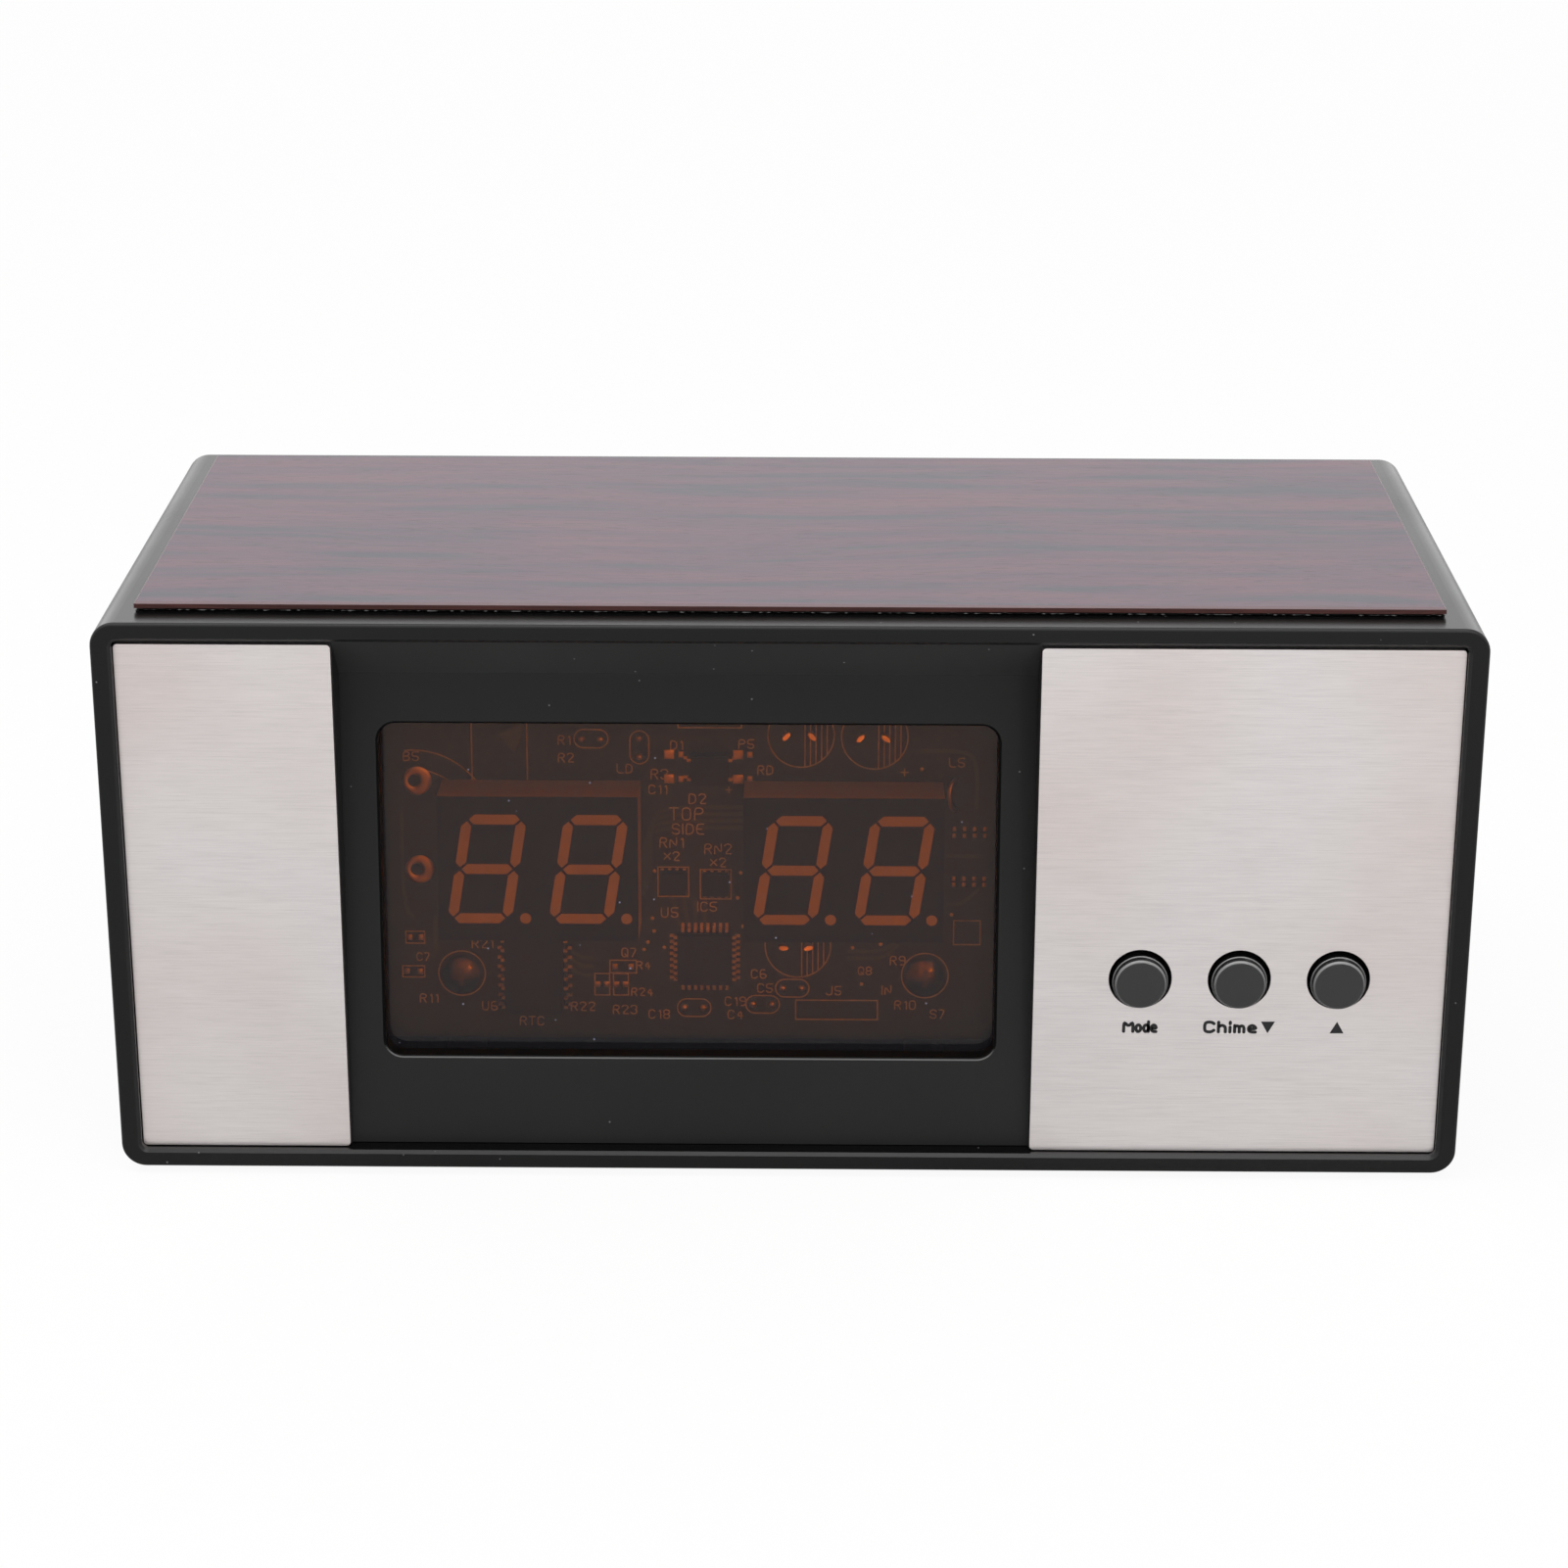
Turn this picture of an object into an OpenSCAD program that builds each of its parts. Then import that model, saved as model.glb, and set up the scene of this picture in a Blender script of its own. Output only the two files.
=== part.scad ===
// Desk alarm clock: a four-digit LED display behind a tinted window, set in a black sleeve
// with brushed steel front plates, three push buttons and a veneered board on top.
// Millimetres. +Z is up, the front faces -Y, and the origin is on the table under the
// middle of the case. The window, the display and the main board lean back together.

/* [Case] */
// Width of the case, left to right
case_w = 167; // [160:0.5:200]
// Depth of the case, front rim to rear rim
case_d = 76; // [66:0.5:110]
// Height of the case, without its feet and its top board
case_h = 71.6; // [71:0.1:90]
// Thickness of the left and right walls
side_wall = 2.5; // [1.8:0.1:3.2]
// Thickness of the floor and the roof
flat_wall = 2.3; // [1.8:0.1:2.6]
// Outer radius of the long edges
case_r = 3; // [1.5:0.1:4.5]
// Inner radius of the long edges
bore_r = 0.8; // [0.4:0.1:1.6]
// Radius that breaks the outer edges of the two rims
rim_r = 0.4; // [0.2:0.05:0.8]
// Bevel round the inner edges of the two rims
rim_bevel = 0.4; // [0.2:0.05:0.8]

/* [Feet] */
// Diameter of a rubber foot
foot_d = 10; // [6:0.5:14]
// Height of a foot below the case
foot_h = 1; // [0.5:0.1:3]
// Depth of the pocket that takes a foot
foot_pocket = 0.4; // [0.2:0.1:0.8]
// Distance from the case's edges to a foot's centre
foot_inset = 13; // [9:0.5:25]

/* [Top board] */
// Distance from the case's edges to the veneered board
top_inset = 4.75; // [3:0.05:12]
// Thickness of the veneered board
veneer_t = 0.8; // [0.5:0.1:3]
// Bevel round the upper edges of the wooden top
veneer_edge = 0.25; // [0.05:0.05:0.4]
// Thickness of the adhesive pad under the board
adhesive_t = 0.4; // [0.2:0.1:1]
// Distance from the board's edges to the adhesive pad
adhesive_inset = 0.6; // [0.2:0.1:3]

/* [Front plates] */
// Depth of the plates' faces behind the front rim
plate_recess = 1.2; // [1:0.1:2.5]
// Thickness of the steel
plate_t = 0.8; // [0.5:0.1:1.5]
// Corner radius of the plates
plate_r = 0.5; // [0.2:0.1:2]
// Width of the right plate, which has the button holes
right_plate_w = 50.6; // [46:0.1:58]
// Gap at the plates' sides
plate_gap = 0.1; // [0.05:0.05:0.4]
// Gap under the plates
plate_low = 0.15; // [0.1:0.05:0.8]
// Gap over the plates
plate_high = 0.7; // [0.3:0.05:1.2]

/* [Front moulding] */
// Wall thickness of the front moulding
panel_t = 2; // [1.6:0.1:2.4]
// Width of the sunken zone between the plates
zone_w = 85; // [84:0.5:92]
// Height of the sloping brow above the window panel
brow_drop = 6.2; // [5:0.1:7]
// Depth of the brow, front to back
brow_in = 6.5; // [4:0.1:8]
// Step from the plates' seat back to the foot of the window panel
panel_step = 0.5; // [0.2:0.1:1]
// Gap between the moulding and the case
panel_gap = 0.1; // [0.05:0.05:0.3]

/* [Window] */
// Distance from the zone's sides to the window opening
window_side = 4.5; // [4:0.1:8]
// Corner radius of the window opening
window_r = 2.2; // [1:0.1:5]
// Bevel round the mouth of the opening
window_edge = 0.3; // [0.1:0.05:0.6]
// Height of the opening's lower edge over the panel's foot
window_low = 11.5; // [11:0.1:13]
// Distance from the opening's upper edge to the brow, along the panel
window_high = 6.4; // [6:0.1:9]
// Depth of the opening from the panel's face to the lens
collar_in = 2.9; // [2.4:0.1:6]
// Thickness of the lens
lens_t = 2; // [1:0.1:3]
// How far the lens reaches past the opening
lens_lap = 1.5; // [1:0.1:1.8]
// Thickness of the rim round the lens
lens_rim = 1.2; // [0.8:0.1:1.3]
// Gap round the lens
lens_gap = 0.1; // [0.05:0.05:0.2]

/* [Display] */
// Width of a two-digit display
display_w = 25.1; // [24.5:0.1:28]
// Height of a display
display_h = 18.8; // [17:0.1:22]
// Thickness of a display
display_t = 8; // [6:0.1:10]
// Distance between the two displays' centres
display_pitch = 38.3; // [30:0.1:44]
// Gap from the lens to the displays' faces
display_gap = 2.1; // [0.3:0.1:3]
// Height of the digits' centre over the window's centre
display_rise = 1; // [-2:0.1:2]
// Distance between two digits of one display
digit_pitch = 12.7; // [11.5:0.1:13]
// Height of a digit
digit_h = 14.2; // [10:0.1:15]
// Width of a digit
digit_w = 8.1; // [6:0.1:8.5]
// Slant of the digits in degrees
digit_slant = 9; // [0:0.5:12]
// Width of a segment
stroke_w = 1.3; // [0.8:0.1:1.8]
// Gap between two segments
stroke_gap = 0.3; // [0.1:0.05:0.6]
// Diameter of a decimal point
point_d = 1.4; // [1:0.1:2]
// Distance from a digit's right edge to the middle of its decimal point
point_out = 1.7; // [1.2:0.1:2]
// Depth of the segments in the display
stroke_in = 1; // [0.5:0.1:3]

/* [Main board] */
// Width of the main board
board_w = 95; // [84:0.5:98]
// How far the main board reaches past the window opening, above and below
board_lap = 4; // [2:0.1:4.2]
// Thickness of the circuit boards
board_t = 1.6; // [0.8:0.1:2]
// Height of the main board's centre over the window's centre
board_rise = 1.5; // [1:0.1:2]
// Distance of the board screws from the board's centre, sideways
board_screw_x = 29.7; // [28:0.1:31]
// Height of the lower board screws over the board's lower edge
board_screw_low = 8.6; // [6:0.1:10]
// Distance of the upper board screws below the board's upper edge
board_screw_high = 3.5; // [3:0.1:4.5]
// Space between the board and its brackets
bracket_gap = 6; // [5.8:0.1:9]
// Thickness of the brackets
bracket_t = 2.5; // [1.5:0.1:4]
// Width of the brackets' arms
bracket_arm = 6; // [5:0.1:7]

/* [Buttons] */
// Diameter of the button holes
button_hole_d = 7.8; // [7.2:0.1:9]
// Diameter of a button cap
button_d = 6.9; // [5:0.1:7]
// How far the caps stand out from the plate
button_proud = 1.1; // [0.5:0.1:1.2]
// Diameter of a cap's raised face
button_face_d = 6.4; // [4:0.1:6.8]
// Height of the raised face over the cap's flange
button_step = 0.9; // [0.3:0.05:1]
// Radius of the raised face's edge
button_edge = 0.35; // [0.1:0.05:1]
// Radius of the flange's edge
flange_edge = 0.15; // [0.05:0.05:0.3]
// Gap between a cap's lowest point and its hole, where the cap sits low
button_low_gap = 0.1; // [0.1:0.05:0.4]
// Distance between two buttons
button_pitch = 12.2; // [10:0.1:13]
// Height of the button holes over the case's underside
button_z = 25.8; // [22:0.1:45]
// Travel of a button
button_travel = 0.25; // [0.1:0.05:0.5]
// Gap between a cap and its switch at rest
button_gap = 0.6; // [0.55:0.05:1.5]
// Width of a switch
switch_w = 6; // [5.5:0.1:7]
// Height of a switch's body
switch_t = 3.5; // [3:0.1:5]
// Width of the square head of a switch's plunger
plunger_w = 2.4; // [2:0.1:3]
// Height of the plunger over the switch's body
plunger_out = 3.8; // [3:0.1:4]
// Height of the button board
button_board_h = 13; // [10:0.5:18]

/* [Rear] */
// Depth of the rear cover behind the rear rim
rear_recess = 2; // [2:0.1:4]
// Thickness of the rear cover
cover_t = 2.2; // [1.6:0.1:4]
// Gap round the rear cover
cover_gap = 0.15; // [0.1:0.05:0.4]
// Size of the corner blocks that take the cover's screws
corner_block = 9; // [8:0.1:12]
// Length of the corner blocks
corner_block_l = 14; // [11:0.5:20]
// Distance of the power jack from the case's left side, seen from the front
jack_in = 31.5; // [24:0.5:50]
// Height of the power jack over the case's underside
jack_z = 20; // [14:0.5:40]
// Diameter of the jack's neck
jack_neck_d = 8; // [7:0.1:10]
// Diameter of the jack's bore
jack_bore_d = 6; // [5.6:0.1:6.4]
// Diameter of the jack's centre pin
jack_pin_d = 2; // [1.6:0.1:2.5]
// Length of a sound slot
slot_l = 14; // [6:0.5:24]
// Width of a sound slot
slot_w = 1.8; // [1:0.1:2.4]
// Number of sound slots
slot_count = 5; // [1:1:7]

/* [Hidden] */
$fn = 48;

// Overlap that joins two shapes of one piece, and overshoot of a cut
bite = 0.4;
over = 1;
// Clearance round a piece that drops into a pocket or a hole
drop_gap = 0.1;
// Plastic left in front of a blind screw hole
skin = 1;

// Case: levels and inner faces
front_y = -case_d / 2;
rear_y = case_d / 2;
base_z = foot_h;
inner_x = case_w / 2 - side_wall;
floor_z = base_z + flat_wall;
roof_z = base_z + case_h - flat_wall;
top_z = base_z + case_h;

// Front moulding: levels, and the profile of the sunken zone as [y, z]
panel_x = inner_x - panel_gap;
panel_z0 = floor_z + panel_gap;
panel_z1 = roof_z - panel_gap;
seat_y = front_y + plate_recess + plate_t;
back_y = seat_y + panel_t;
right_x1 = inner_x - plate_gap;
right_x0 = right_x1 - right_plate_w;
zone_x1 = right_x0 - plate_gap;
zone_x0 = zone_x1 - zone_w;
zone_x = (zone_x0 + zone_x1) / 2;
left_x0 = -inner_x + plate_gap;
left_x1 = zone_x0 - plate_gap;
brow_front = [front_y + plate_recess, panel_z1];
brow_deep = [brow_front[0] + brow_in, panel_z1 - brow_drop];
panel_foot = [seat_y + panel_step, panel_z0];
lean = atan((brow_deep[0] - panel_foot[0]) / (brow_deep[1] - panel_foot[1]));
panel_l = norm(brow_deep - panel_foot);
brow_slope = atan(brow_drop / brow_in);
panel_back = panel_foot[0] + panel_t / cos(lean);
brow_back = brow_front[0] + panel_t / sin(brow_slope);
deep_back_z = (brow_back - panel_back + panel_z1 / tan(brow_slope) + panel_z0 * tan(lean))
  / (tan(lean) + 1 / tan(brow_slope));
deep_back = [panel_back + (deep_back_z - panel_z0) * tan(lean), deep_back_z];

// Leaning frame: y is the depth behind the panel's face, z the height along it
window_w = zone_w - 2 * window_side;
window_h = panel_l - window_low - window_high;
window_z = window_low + window_h / 2;
lens_w = window_w + 2 * lens_lap;
lens_h = window_h + 2 * lens_lap;
display_y = collar_in + lens_t + display_gap;
display_z = window_z + display_rise;
board_y = display_y + display_t;
board_back = board_y + board_t;
board_z = window_z + board_rise;
board_h = window_h + 2 * board_lap;
board_low = board_z - board_h / 2;
board_high = board_z + board_h / 2;
screw_low = board_low + board_screw_low;
screw_high = board_high - board_screw_high;
bracket_y = board_back + bracket_gap;
bracket_back = bracket_y + bracket_t;
post_r = 2.5;
post_clear = 0.6;
post_low = board_low - post_clear - post_r;
post_high = board_high + post_clear + post_r;

// Screws: shank diameter, head diameter, head height
board_screw = [2.5, 4.8, 1.7];
small_screw = [2, 3.8, 1.4];
case_screw = [2.6, 5.2, 1.9];
pilot_gap = 0.1;
hole_gap = 0.4;
recess_w = 0.6;
board_grip = 5;
bracket_grip = 7;
small_grip = 4;
case_grip = 7;
board_screw_l = board_t + board_grip;
bracket_screw_l = bracket_t + bracket_grip;
small_screw_l = board_t + small_grip;
case_screw_l = cover_t + case_grip;

// Bosses between the front moulding and the lugs of the case
boss_r = 3.5;
boss_l = 6;
boss_inset = 13;
lug_w = 10;
lug_t = 4;
lug_y = back_y + boss_l;
panel_screw_l = lug_t + boss_l;
boss_xs = [(left_x0 + left_x1) / 2, inner_x - boss_inset];
boss_wall = 5.2;
boss_zs = [floor_z + boss_wall, roof_z - boss_wall];

// Buttons: depth levels from the cap's face to the button board
plate_y = front_y + plate_recess;
button_x = (right_x0 + right_x1) / 2;
hole_level = base_z + button_z;
button_level = hole_level - (button_hole_d - max(button_d, button_face_d)) / 2 + button_low_gap;
cap_y = plate_y - button_proud;
cap_past = 1.1;
cap_back = back_y + cap_past;
switch_y = cap_back + button_gap;
button_board_y = switch_y + switch_t;
button_board_back = button_board_y + board_t;
button_post_r = 2.3;
button_post_gap = 0.4;
button_post_x = button_pitch + max(switch_w, button_hole_d) / 2 + button_post_r + button_post_gap;
button_board_w = 2 * (button_post_x + button_post_r + button_post_gap);
running_gap = 0.05;
stem_r = 1.7;
collar_r = 2;
collar_t = 0.8;
lid_t = 0.6;
push_fit = 0.02;

// Parts on the back of the main board, as [x, z] from its middle, by way of the edge they keep to
function from_low(x, z) = [x, z - board_h / 2];
function from_high(x, z) = [x, board_h / 2 - z];
capacitor_r = 4;
capacitor_l = 12;
capacitor_at = [from_high(13.7, 10.5), from_high(23, 10.5), from_low(13.5, 13.2)];
groove_r = 0.35;
groove_z = 2;
ceramic_size = [5, 5.5, 2.6];
ceramic_r = 1.2;
ceramic_at = [from_high(-12.8, 11.2), from_low(0, 4.1), from_low(8.9, 4.6)];
cell_r = 10;
cell_t = 3.2;
cell_lip = 1.2;
cell_groove = 0.3;
cell_in = 12.1;
cell_at = [cell_in - board_w / 2, 2.7];
holder_wall = 1.4;
holder_floor = 1;
cell_gap = 0.15;
clip_w = 5;
clip_t = 0.4;
buzzer_r = 6;
buzzer_l = 9.5;
buzzer_hole = 1.2;
buzzer_in = 13;
buzzer_at = [board_w / 2 - buzzer_in, 6];
header_pitch = 2.54;
header_t = 2.6;
header_l = 9;
latch = [1, 1.6, 0.5];
latch_y = 5.6;
header_at = from_low(18.3, 3.9);
supply_at = from_high(2, 8.5);

// Chips on the front of the main board: middle as [x, z], body as [x, z, y]
mcu_at = [1.5, -14.4];
mcu_body = [7, 7, 1.4];
mcu_leads = 8;
mcu_pitch = 0.8;
clock_at = [-20.3, -16.5];
clock_body = [7.5, 10.3, 2.3];
clock_leads = 8;
clock_pitch = 1.27;
bridge_at = [2.2, 10.7];
bridge_body = [4.7, 3.9, 2.2];
bridge_leads = 2;
bridge_pitch = 2.5;
array_at = [[-2.5, -4.5], [2.9, -4.7]];
array_body = [3.2, 3.2, 0.7];
lead_w = 0.4;
lead_t = 0.2;
lead_out = 1;
chip_lift = 0.15;

// Rear cover, its blocks, the jack and the wires
cover_y = rear_y - rear_recess - cover_t;
cover_x = inner_x - cover_gap;
cover_z0 = floor_z + cover_gap;
cover_z1 = roof_z - cover_gap;
block_x = inner_x - corner_block / 2;
block_zs = [floor_z + corner_block / 2, roof_z - corner_block / 2];
rib_t = 1.5;
rib_l = 2.5;
jack_x = jack_in - case_w / 2;
jack_level = base_z + jack_z;
jack_body_r = 5.5;
jack_body_l = 12;
jack_bore_l = 9.5;
jack_pin_l = 8.5;
nut_t = 1.4;
nut_across = 11;
wire_d = 1.3;
wire_rings = 18;
wire_sides = 8;
harness_out = 13;
harness_back = 20;
harness_fan = 3;
supply_out = 14;
supply_back = 16;
slot_step = 4;

// Turns a flat drawing upright, facing the front, y0 to y0 + t
module slab(y0, t) {
  translate([0, y0 + t, 0]) rotate([90, 0, 0]) linear_extrude(t) children();
}

// Carries a [y, z] profile from x0 along +X
module along_x(x0, l) {
  translate([x0, 0, 0]) rotate([90, 0, 90]) linear_extrude(l) children();
}

// Round bar along +Y
module rod(r, y0, l) {
  translate([0, y0, 0]) rotate([-90, 0, 0]) cylinder(r = r, h = l);
}

// Turned shape whose drawing is [radius, depth], standing along +Y
module turned() {
  rotate([-90, 0, 0]) rotate_extrude() children();
}

// Rectangle about the origin with round corners
module round_rect(w, h, r) {
  square([w - 2 * r, h], center = true);
  square([w, h - 2 * r], center = true);
  for (x = [-1, 1], y = [-1, 1]) {
    translate([x * (w / 2 - r), y * (h / 2 - r)]) circle(r);
  }
}

// Block along Y with round long edges of radius r and broken end edges of radius e
module soft_block(w, h, d, r, e) {
  along_x(-w / 2 + r, w - 2 * r) round_rect(d, h, e);
  translate([0, 0, -h / 2 + r]) linear_extrude(h - 2 * r) round_rect(w, d, e);
  for (x = [-1, 1], z = [-1, 1]) {
    translate([x * (w / 2 - r), 0, z * (h / 2 - r)]) rotate([90, 0, 0]) rotate_extrude() {
      intersection() {
        round_rect(2 * r, d, e);
        translate([0, -d / 2]) square([r, d]);
      }
    }
  }
}

// Window void along +Y from its mouth, with a bevel e round the mouth
module window_void(w, h, l, r, e) {
  slab(-over, l + over) round_rect(w, h, r);
  slope = [[-over, -bite], [-over, e + over], [e, 0], [e, -bite]];
  along_x(-w / 2 + r, w - 2 * r) for (s = [-1, 1]) {
    polygon([for (p = slope) [p[0], s * (h / 2 + p[1])]]);
  }
  translate([0, 0, -h / 2 + r]) linear_extrude(h - 2 * r) for (s = [-1, 1]) {
    polygon([for (p = slope) [s * (w / 2 + p[1]), p[0]]]);
  }
  for (x = [-1, 1], z = [-1, 1]) {
    translate([x * (w / 2 - r), -over, z * (h / 2 - r)]) rotate([-90, 0, 0]) {
      cylinder(r1 = r + e + over, r2 = r, h = e + over);
    }
  }
}

// Pan-head screw along +Y: the head ends at y = 0, the shank runs on from there
module screw(size, l) {
  difference() {
    union() {
      rod(size[0] / 2, -bite, l + bite);
      turned() {
        translate([0, -size[2]]) intersection() {
          translate([0, size[1]]) circle(size[1], $fn = 96);
          square([size[1] / 2, size[2]]);
        }
      }
    }
    for (a = [0, 90]) {
      rotate([0, a, 0]) translate([0, -size[2], 0]) cube([size[1] / 2, size[2], recess_w], center = true);
    }
  }
}

// Frame of the window panel: x from the zone's middle, y behind its face, z up along it
module leaning() {
  translate([zone_x, panel_foot[0], panel_foot[1]]) rotate([-lean, 0, 0]) children();
}

// Frame of the main board's middle, y on its front face
module on_board(at, y) {
  leaning() translate([at[0], y, board_z + at[1]]) children();
}

// Point of the leaning frame in the case's frame
function leaned(p) = [
  zone_x + p[0],
  panel_foot[0] + p[1] * cos(lean) + p[2] * sin(lean),
  panel_foot[1] - p[1] * sin(lean) + p[2] * cos(lean)
];

module case_shell() {
  color("#242425") difference() {
    union() {
      difference() {
        translate([0, 0, base_z + case_h / 2]) soft_block(case_w, case_h, case_d, case_r, rim_r);
        for (a = [0, 180]) rotate([0, 0, a]) translate([0, front_y, (floor_z + roof_z) / 2]) {
          window_void(2 * inner_x, roof_z - floor_z, case_d / 2 + over, bore_r, rim_bevel);
        }
      }
      for (x = boss_xs, z = [floor_z - bite, roof_z + bite - 2 * boss_wall]) {
        translate([x - lug_w / 2, lug_y, z]) cube([lug_w, lug_t, 2 * boss_wall]);
      }
      for (x = [-1, 1], z = [floor_z - bite, roof_z - corner_block]) {
        translate([x * (block_x + bite / 2), 0, z]) {
          slab(cover_y - corner_block_l, corner_block_l) {
            translate([-(corner_block + bite) / 2, 0]) square(corner_block + bite);
          }
        }
      }
    }
    for (x = boss_xs, z = boss_zs) {
      translate([x, 0, z]) rod((case_screw[0] + hole_gap) / 2, lug_y - over, lug_t + 2 * over);
    }
    for (x = [-1, 1], z = block_zs) {
      translate([x * block_x, 0, z]) {
        rod((case_screw[0] + pilot_gap) / 2, cover_y - case_screw_l, case_screw_l + over);
      }
    }
    for (x = [-1, 1], y = [-1, 1]) {
      translate([x * (case_w / 2 - foot_inset), y * (case_d / 2 - foot_inset), base_z - over]) {
        cylinder(r = foot_d / 2 + drop_gap, h = foot_pocket + over);
      }
    }
  }
}

module rubber_feet() {
  color("#303030") for (x = [-1, 1], y = [-1, 1]) {
    translate([x * (case_w / 2 - foot_inset), y * (case_d / 2 - foot_inset), 0]) {
      cylinder(r = foot_d / 2, h = foot_h + foot_pocket);
    }
  }
}

module wood_adhesive() {
  inset = top_inset + adhesive_inset;
  color("#1a1616") translate([0, 0, top_z + adhesive_t / 2]) {
    cube([case_w - 2 * inset, case_d - 2 * inset, adhesive_t], center = true);
  }
}

// Section of the wooden top across a side of length l, with both upper edges bevelled
function wood_section(l) = [
  [-l / 2, 0], [l / 2, 0], [l / 2, veneer_t - veneer_edge], [l / 2 - veneer_edge, veneer_t],
  [veneer_edge - l / 2, veneer_t], [-l / 2, veneer_t - veneer_edge]
];

module wood_top() {
  w = case_w - 2 * top_inset;
  d = case_d - 2 * top_inset;
  color("#5a3a3c") translate([0, 0, top_z + adhesive_t]) intersection() {
    along_x(-w / 2, w) polygon(wood_section(d));
    rotate([0, 0, 90]) along_x(-d / 2, d) polygon(wood_section(w));
  }
}

// Room in front of the sunken zone
module front_air() {
  far_y = front_y - brow_in - over;
  along_x(zone_x0, zone_w) polygon([
    [far_y, panel_z0 - over],
    [panel_foot[0] - over * tan(lean), panel_z0 - over],
    panel_foot,
    brow_deep,
    brow_front,
    [brow_front[0] - over / tan(brow_slope), panel_z1 + over],
    [far_y, panel_z1 + over]
  ]);
}

// Rear half of the zone's profile, from the back of the foot to the back of the brow
function zone_back() = [[panel_back, panel_z0], deep_back, [brow_back, panel_z1]];

module front_panel() {
  color("#2a2a2b") difference() {
    union() {
      slab(seat_y, panel_t) difference() {
        translate([0, (panel_z0 + panel_z1) / 2]) round_rect(2 * panel_x, panel_z1 - panel_z0, bore_r);
        translate([zone_x0, panel_z0 - over]) square([zone_w, panel_z1 - panel_z0 + 2 * over]);
      }
      for (x = [zone_x0 - panel_t, zone_x1]) {
        along_x(x, panel_t) polygon(concat([[seat_y, panel_z1], [seat_y, panel_z0]], zone_back()));
      }
      along_x(zone_x0, zone_w) polygon(concat([brow_front, brow_deep, panel_foot], zone_back()));
      leaning() translate([0, 0, window_z]) {
        slab(panel_t - bite, collar_in + lens_t - panel_t + bite) {
          round_rect(lens_w + 2 * (lens_gap + lens_rim), lens_h + 2 * (lens_gap + lens_rim), window_r);
        }
      }
      leaning() for (x = [-1, 1], z = [post_low, post_high]) {
        translate([x * board_screw_x, 0, z]) rod(post_r, -brow_in, bracket_y + brow_in);
      }
      for (x = boss_xs, z = boss_zs) translate([x, 0, z]) rod(boss_r, back_y - bite, boss_l + bite);
      for (x = [-1, 1]) {
        translate([button_x + x * button_post_x, 0, button_level]) {
          rod(button_post_r, back_y - bite, button_board_y - back_y + bite);
        }
      }
    }
    front_air();
    leaning() translate([0, 0, window_z]) {
      window_void(window_w, window_h, board_y, window_r, window_edge);
      slab(collar_in, lens_t + over) round_rect(lens_w + 2 * lens_gap, lens_h + 2 * lens_gap, window_r);
    }
    leaning() for (x = [-1, 1], z = [post_low, post_high]) {
      translate([x * board_screw_x, 0, z]) {
        rod((board_screw[0] + pilot_gap) / 2, bracket_back - bracket_screw_l - over, bracket_screw_l + over);
      }
    }
    for (x = boss_xs, z = boss_zs) {
      translate([x, 0, z]) rod((case_screw[0] + pilot_gap) / 2, seat_y + skin, boss_l + panel_t);
    }
    for (x = [-1, 1]) {
      translate([button_x + x * button_post_x, 0, button_level]) {
        rod((small_screw[0] + pilot_gap) / 2, seat_y + skin, button_board_y - seat_y);
      }
    }
    for (i = [-1:1]) translate([button_x + i * button_pitch, 0, hole_level]) {
      rod(button_hole_d / 2, seat_y - over, panel_t + 2 * over);
    }
  }
}

module front_panel_screws() {
  color("#8d8f92") for (x = boss_xs, z = boss_zs) {
    translate([x, lug_y + lug_t, z]) rotate([0, 0, 180]) screw(case_screw, panel_screw_l);
  }
}

// Steel plate from x0 to x1, as a flat drawing
module plate_outline(x0, x1) {
  z0 = floor_z + plate_low;
  z1 = roof_z - plate_high;
  translate([(x0 + x1) / 2, (z0 + z1) / 2]) round_rect(x1 - x0, z1 - z0, plate_r);
}

module left_plate() {
  color("#cdc8c6") slab(plate_y, plate_t) plate_outline(left_x0, left_x1);
}

module right_plate() {
  color("#cdc8c6") slab(plate_y, plate_t) difference() {
    plate_outline(right_x0, right_x1);
    for (i = [-1:1]) translate([button_x + i * button_pitch, hole_level]) circle(button_hole_d / 2);
  }
}

module window_lens() {
  color("#5a3a22", 0.6) leaning() translate([0, 0, window_z]) {
    slab(collar_in, lens_t) round_rect(lens_w, lens_h, window_r);
  }
}

// Point of an upright digit drawing, leant over by the slant
function slanted(p) = [p[0] + p[1] * tan(digit_slant), p[1]];

// Segment between two corners of the digit's middle line: a bar with pointed ends
module stroke(a, b) {
  d = (b - a) / norm(b - a);
  n = [-d[1], d[0]] * stroke_w / 2;
  s = d * stroke_gap / sqrt(2);
  t = d * stroke_w / 2;
  polygon([for (p = [a + s, a + s + t - n, b - s - t - n, b - s, b - s - t + n, a + s + t + n]) slanted(p)]);
}

// Segments and decimal points of one display, as a flat drawing about its middle
module digits() {
  x = digit_w / 2 - stroke_w / 2;
  z = digit_h / 2 - stroke_w / 2;
  for (s = [-1, 1]) translate([s * digit_pitch / 2, 0]) {
    for (level = [-z, 0, z]) stroke([-x, level], [x, level]);
    for (side = [-x, x], low = [-z, 0]) stroke([side, low], [side, low + z]);
    translate(slanted([digit_w / 2 + point_out, -z])) circle(point_d / 2);
  }
}

module display(side) {
  leaning() translate([side * display_pitch / 2, 0, display_z]) difference() {
    slab(display_y, display_t) square([display_w, display_h], center = true);
    slab(display_y - over, stroke_in + over) digits();
  }
}

module display_left() {
  color("#d8d2c4") display(-1);
}

module display_right() {
  color("#d8d2c4") display(1);
}

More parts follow.
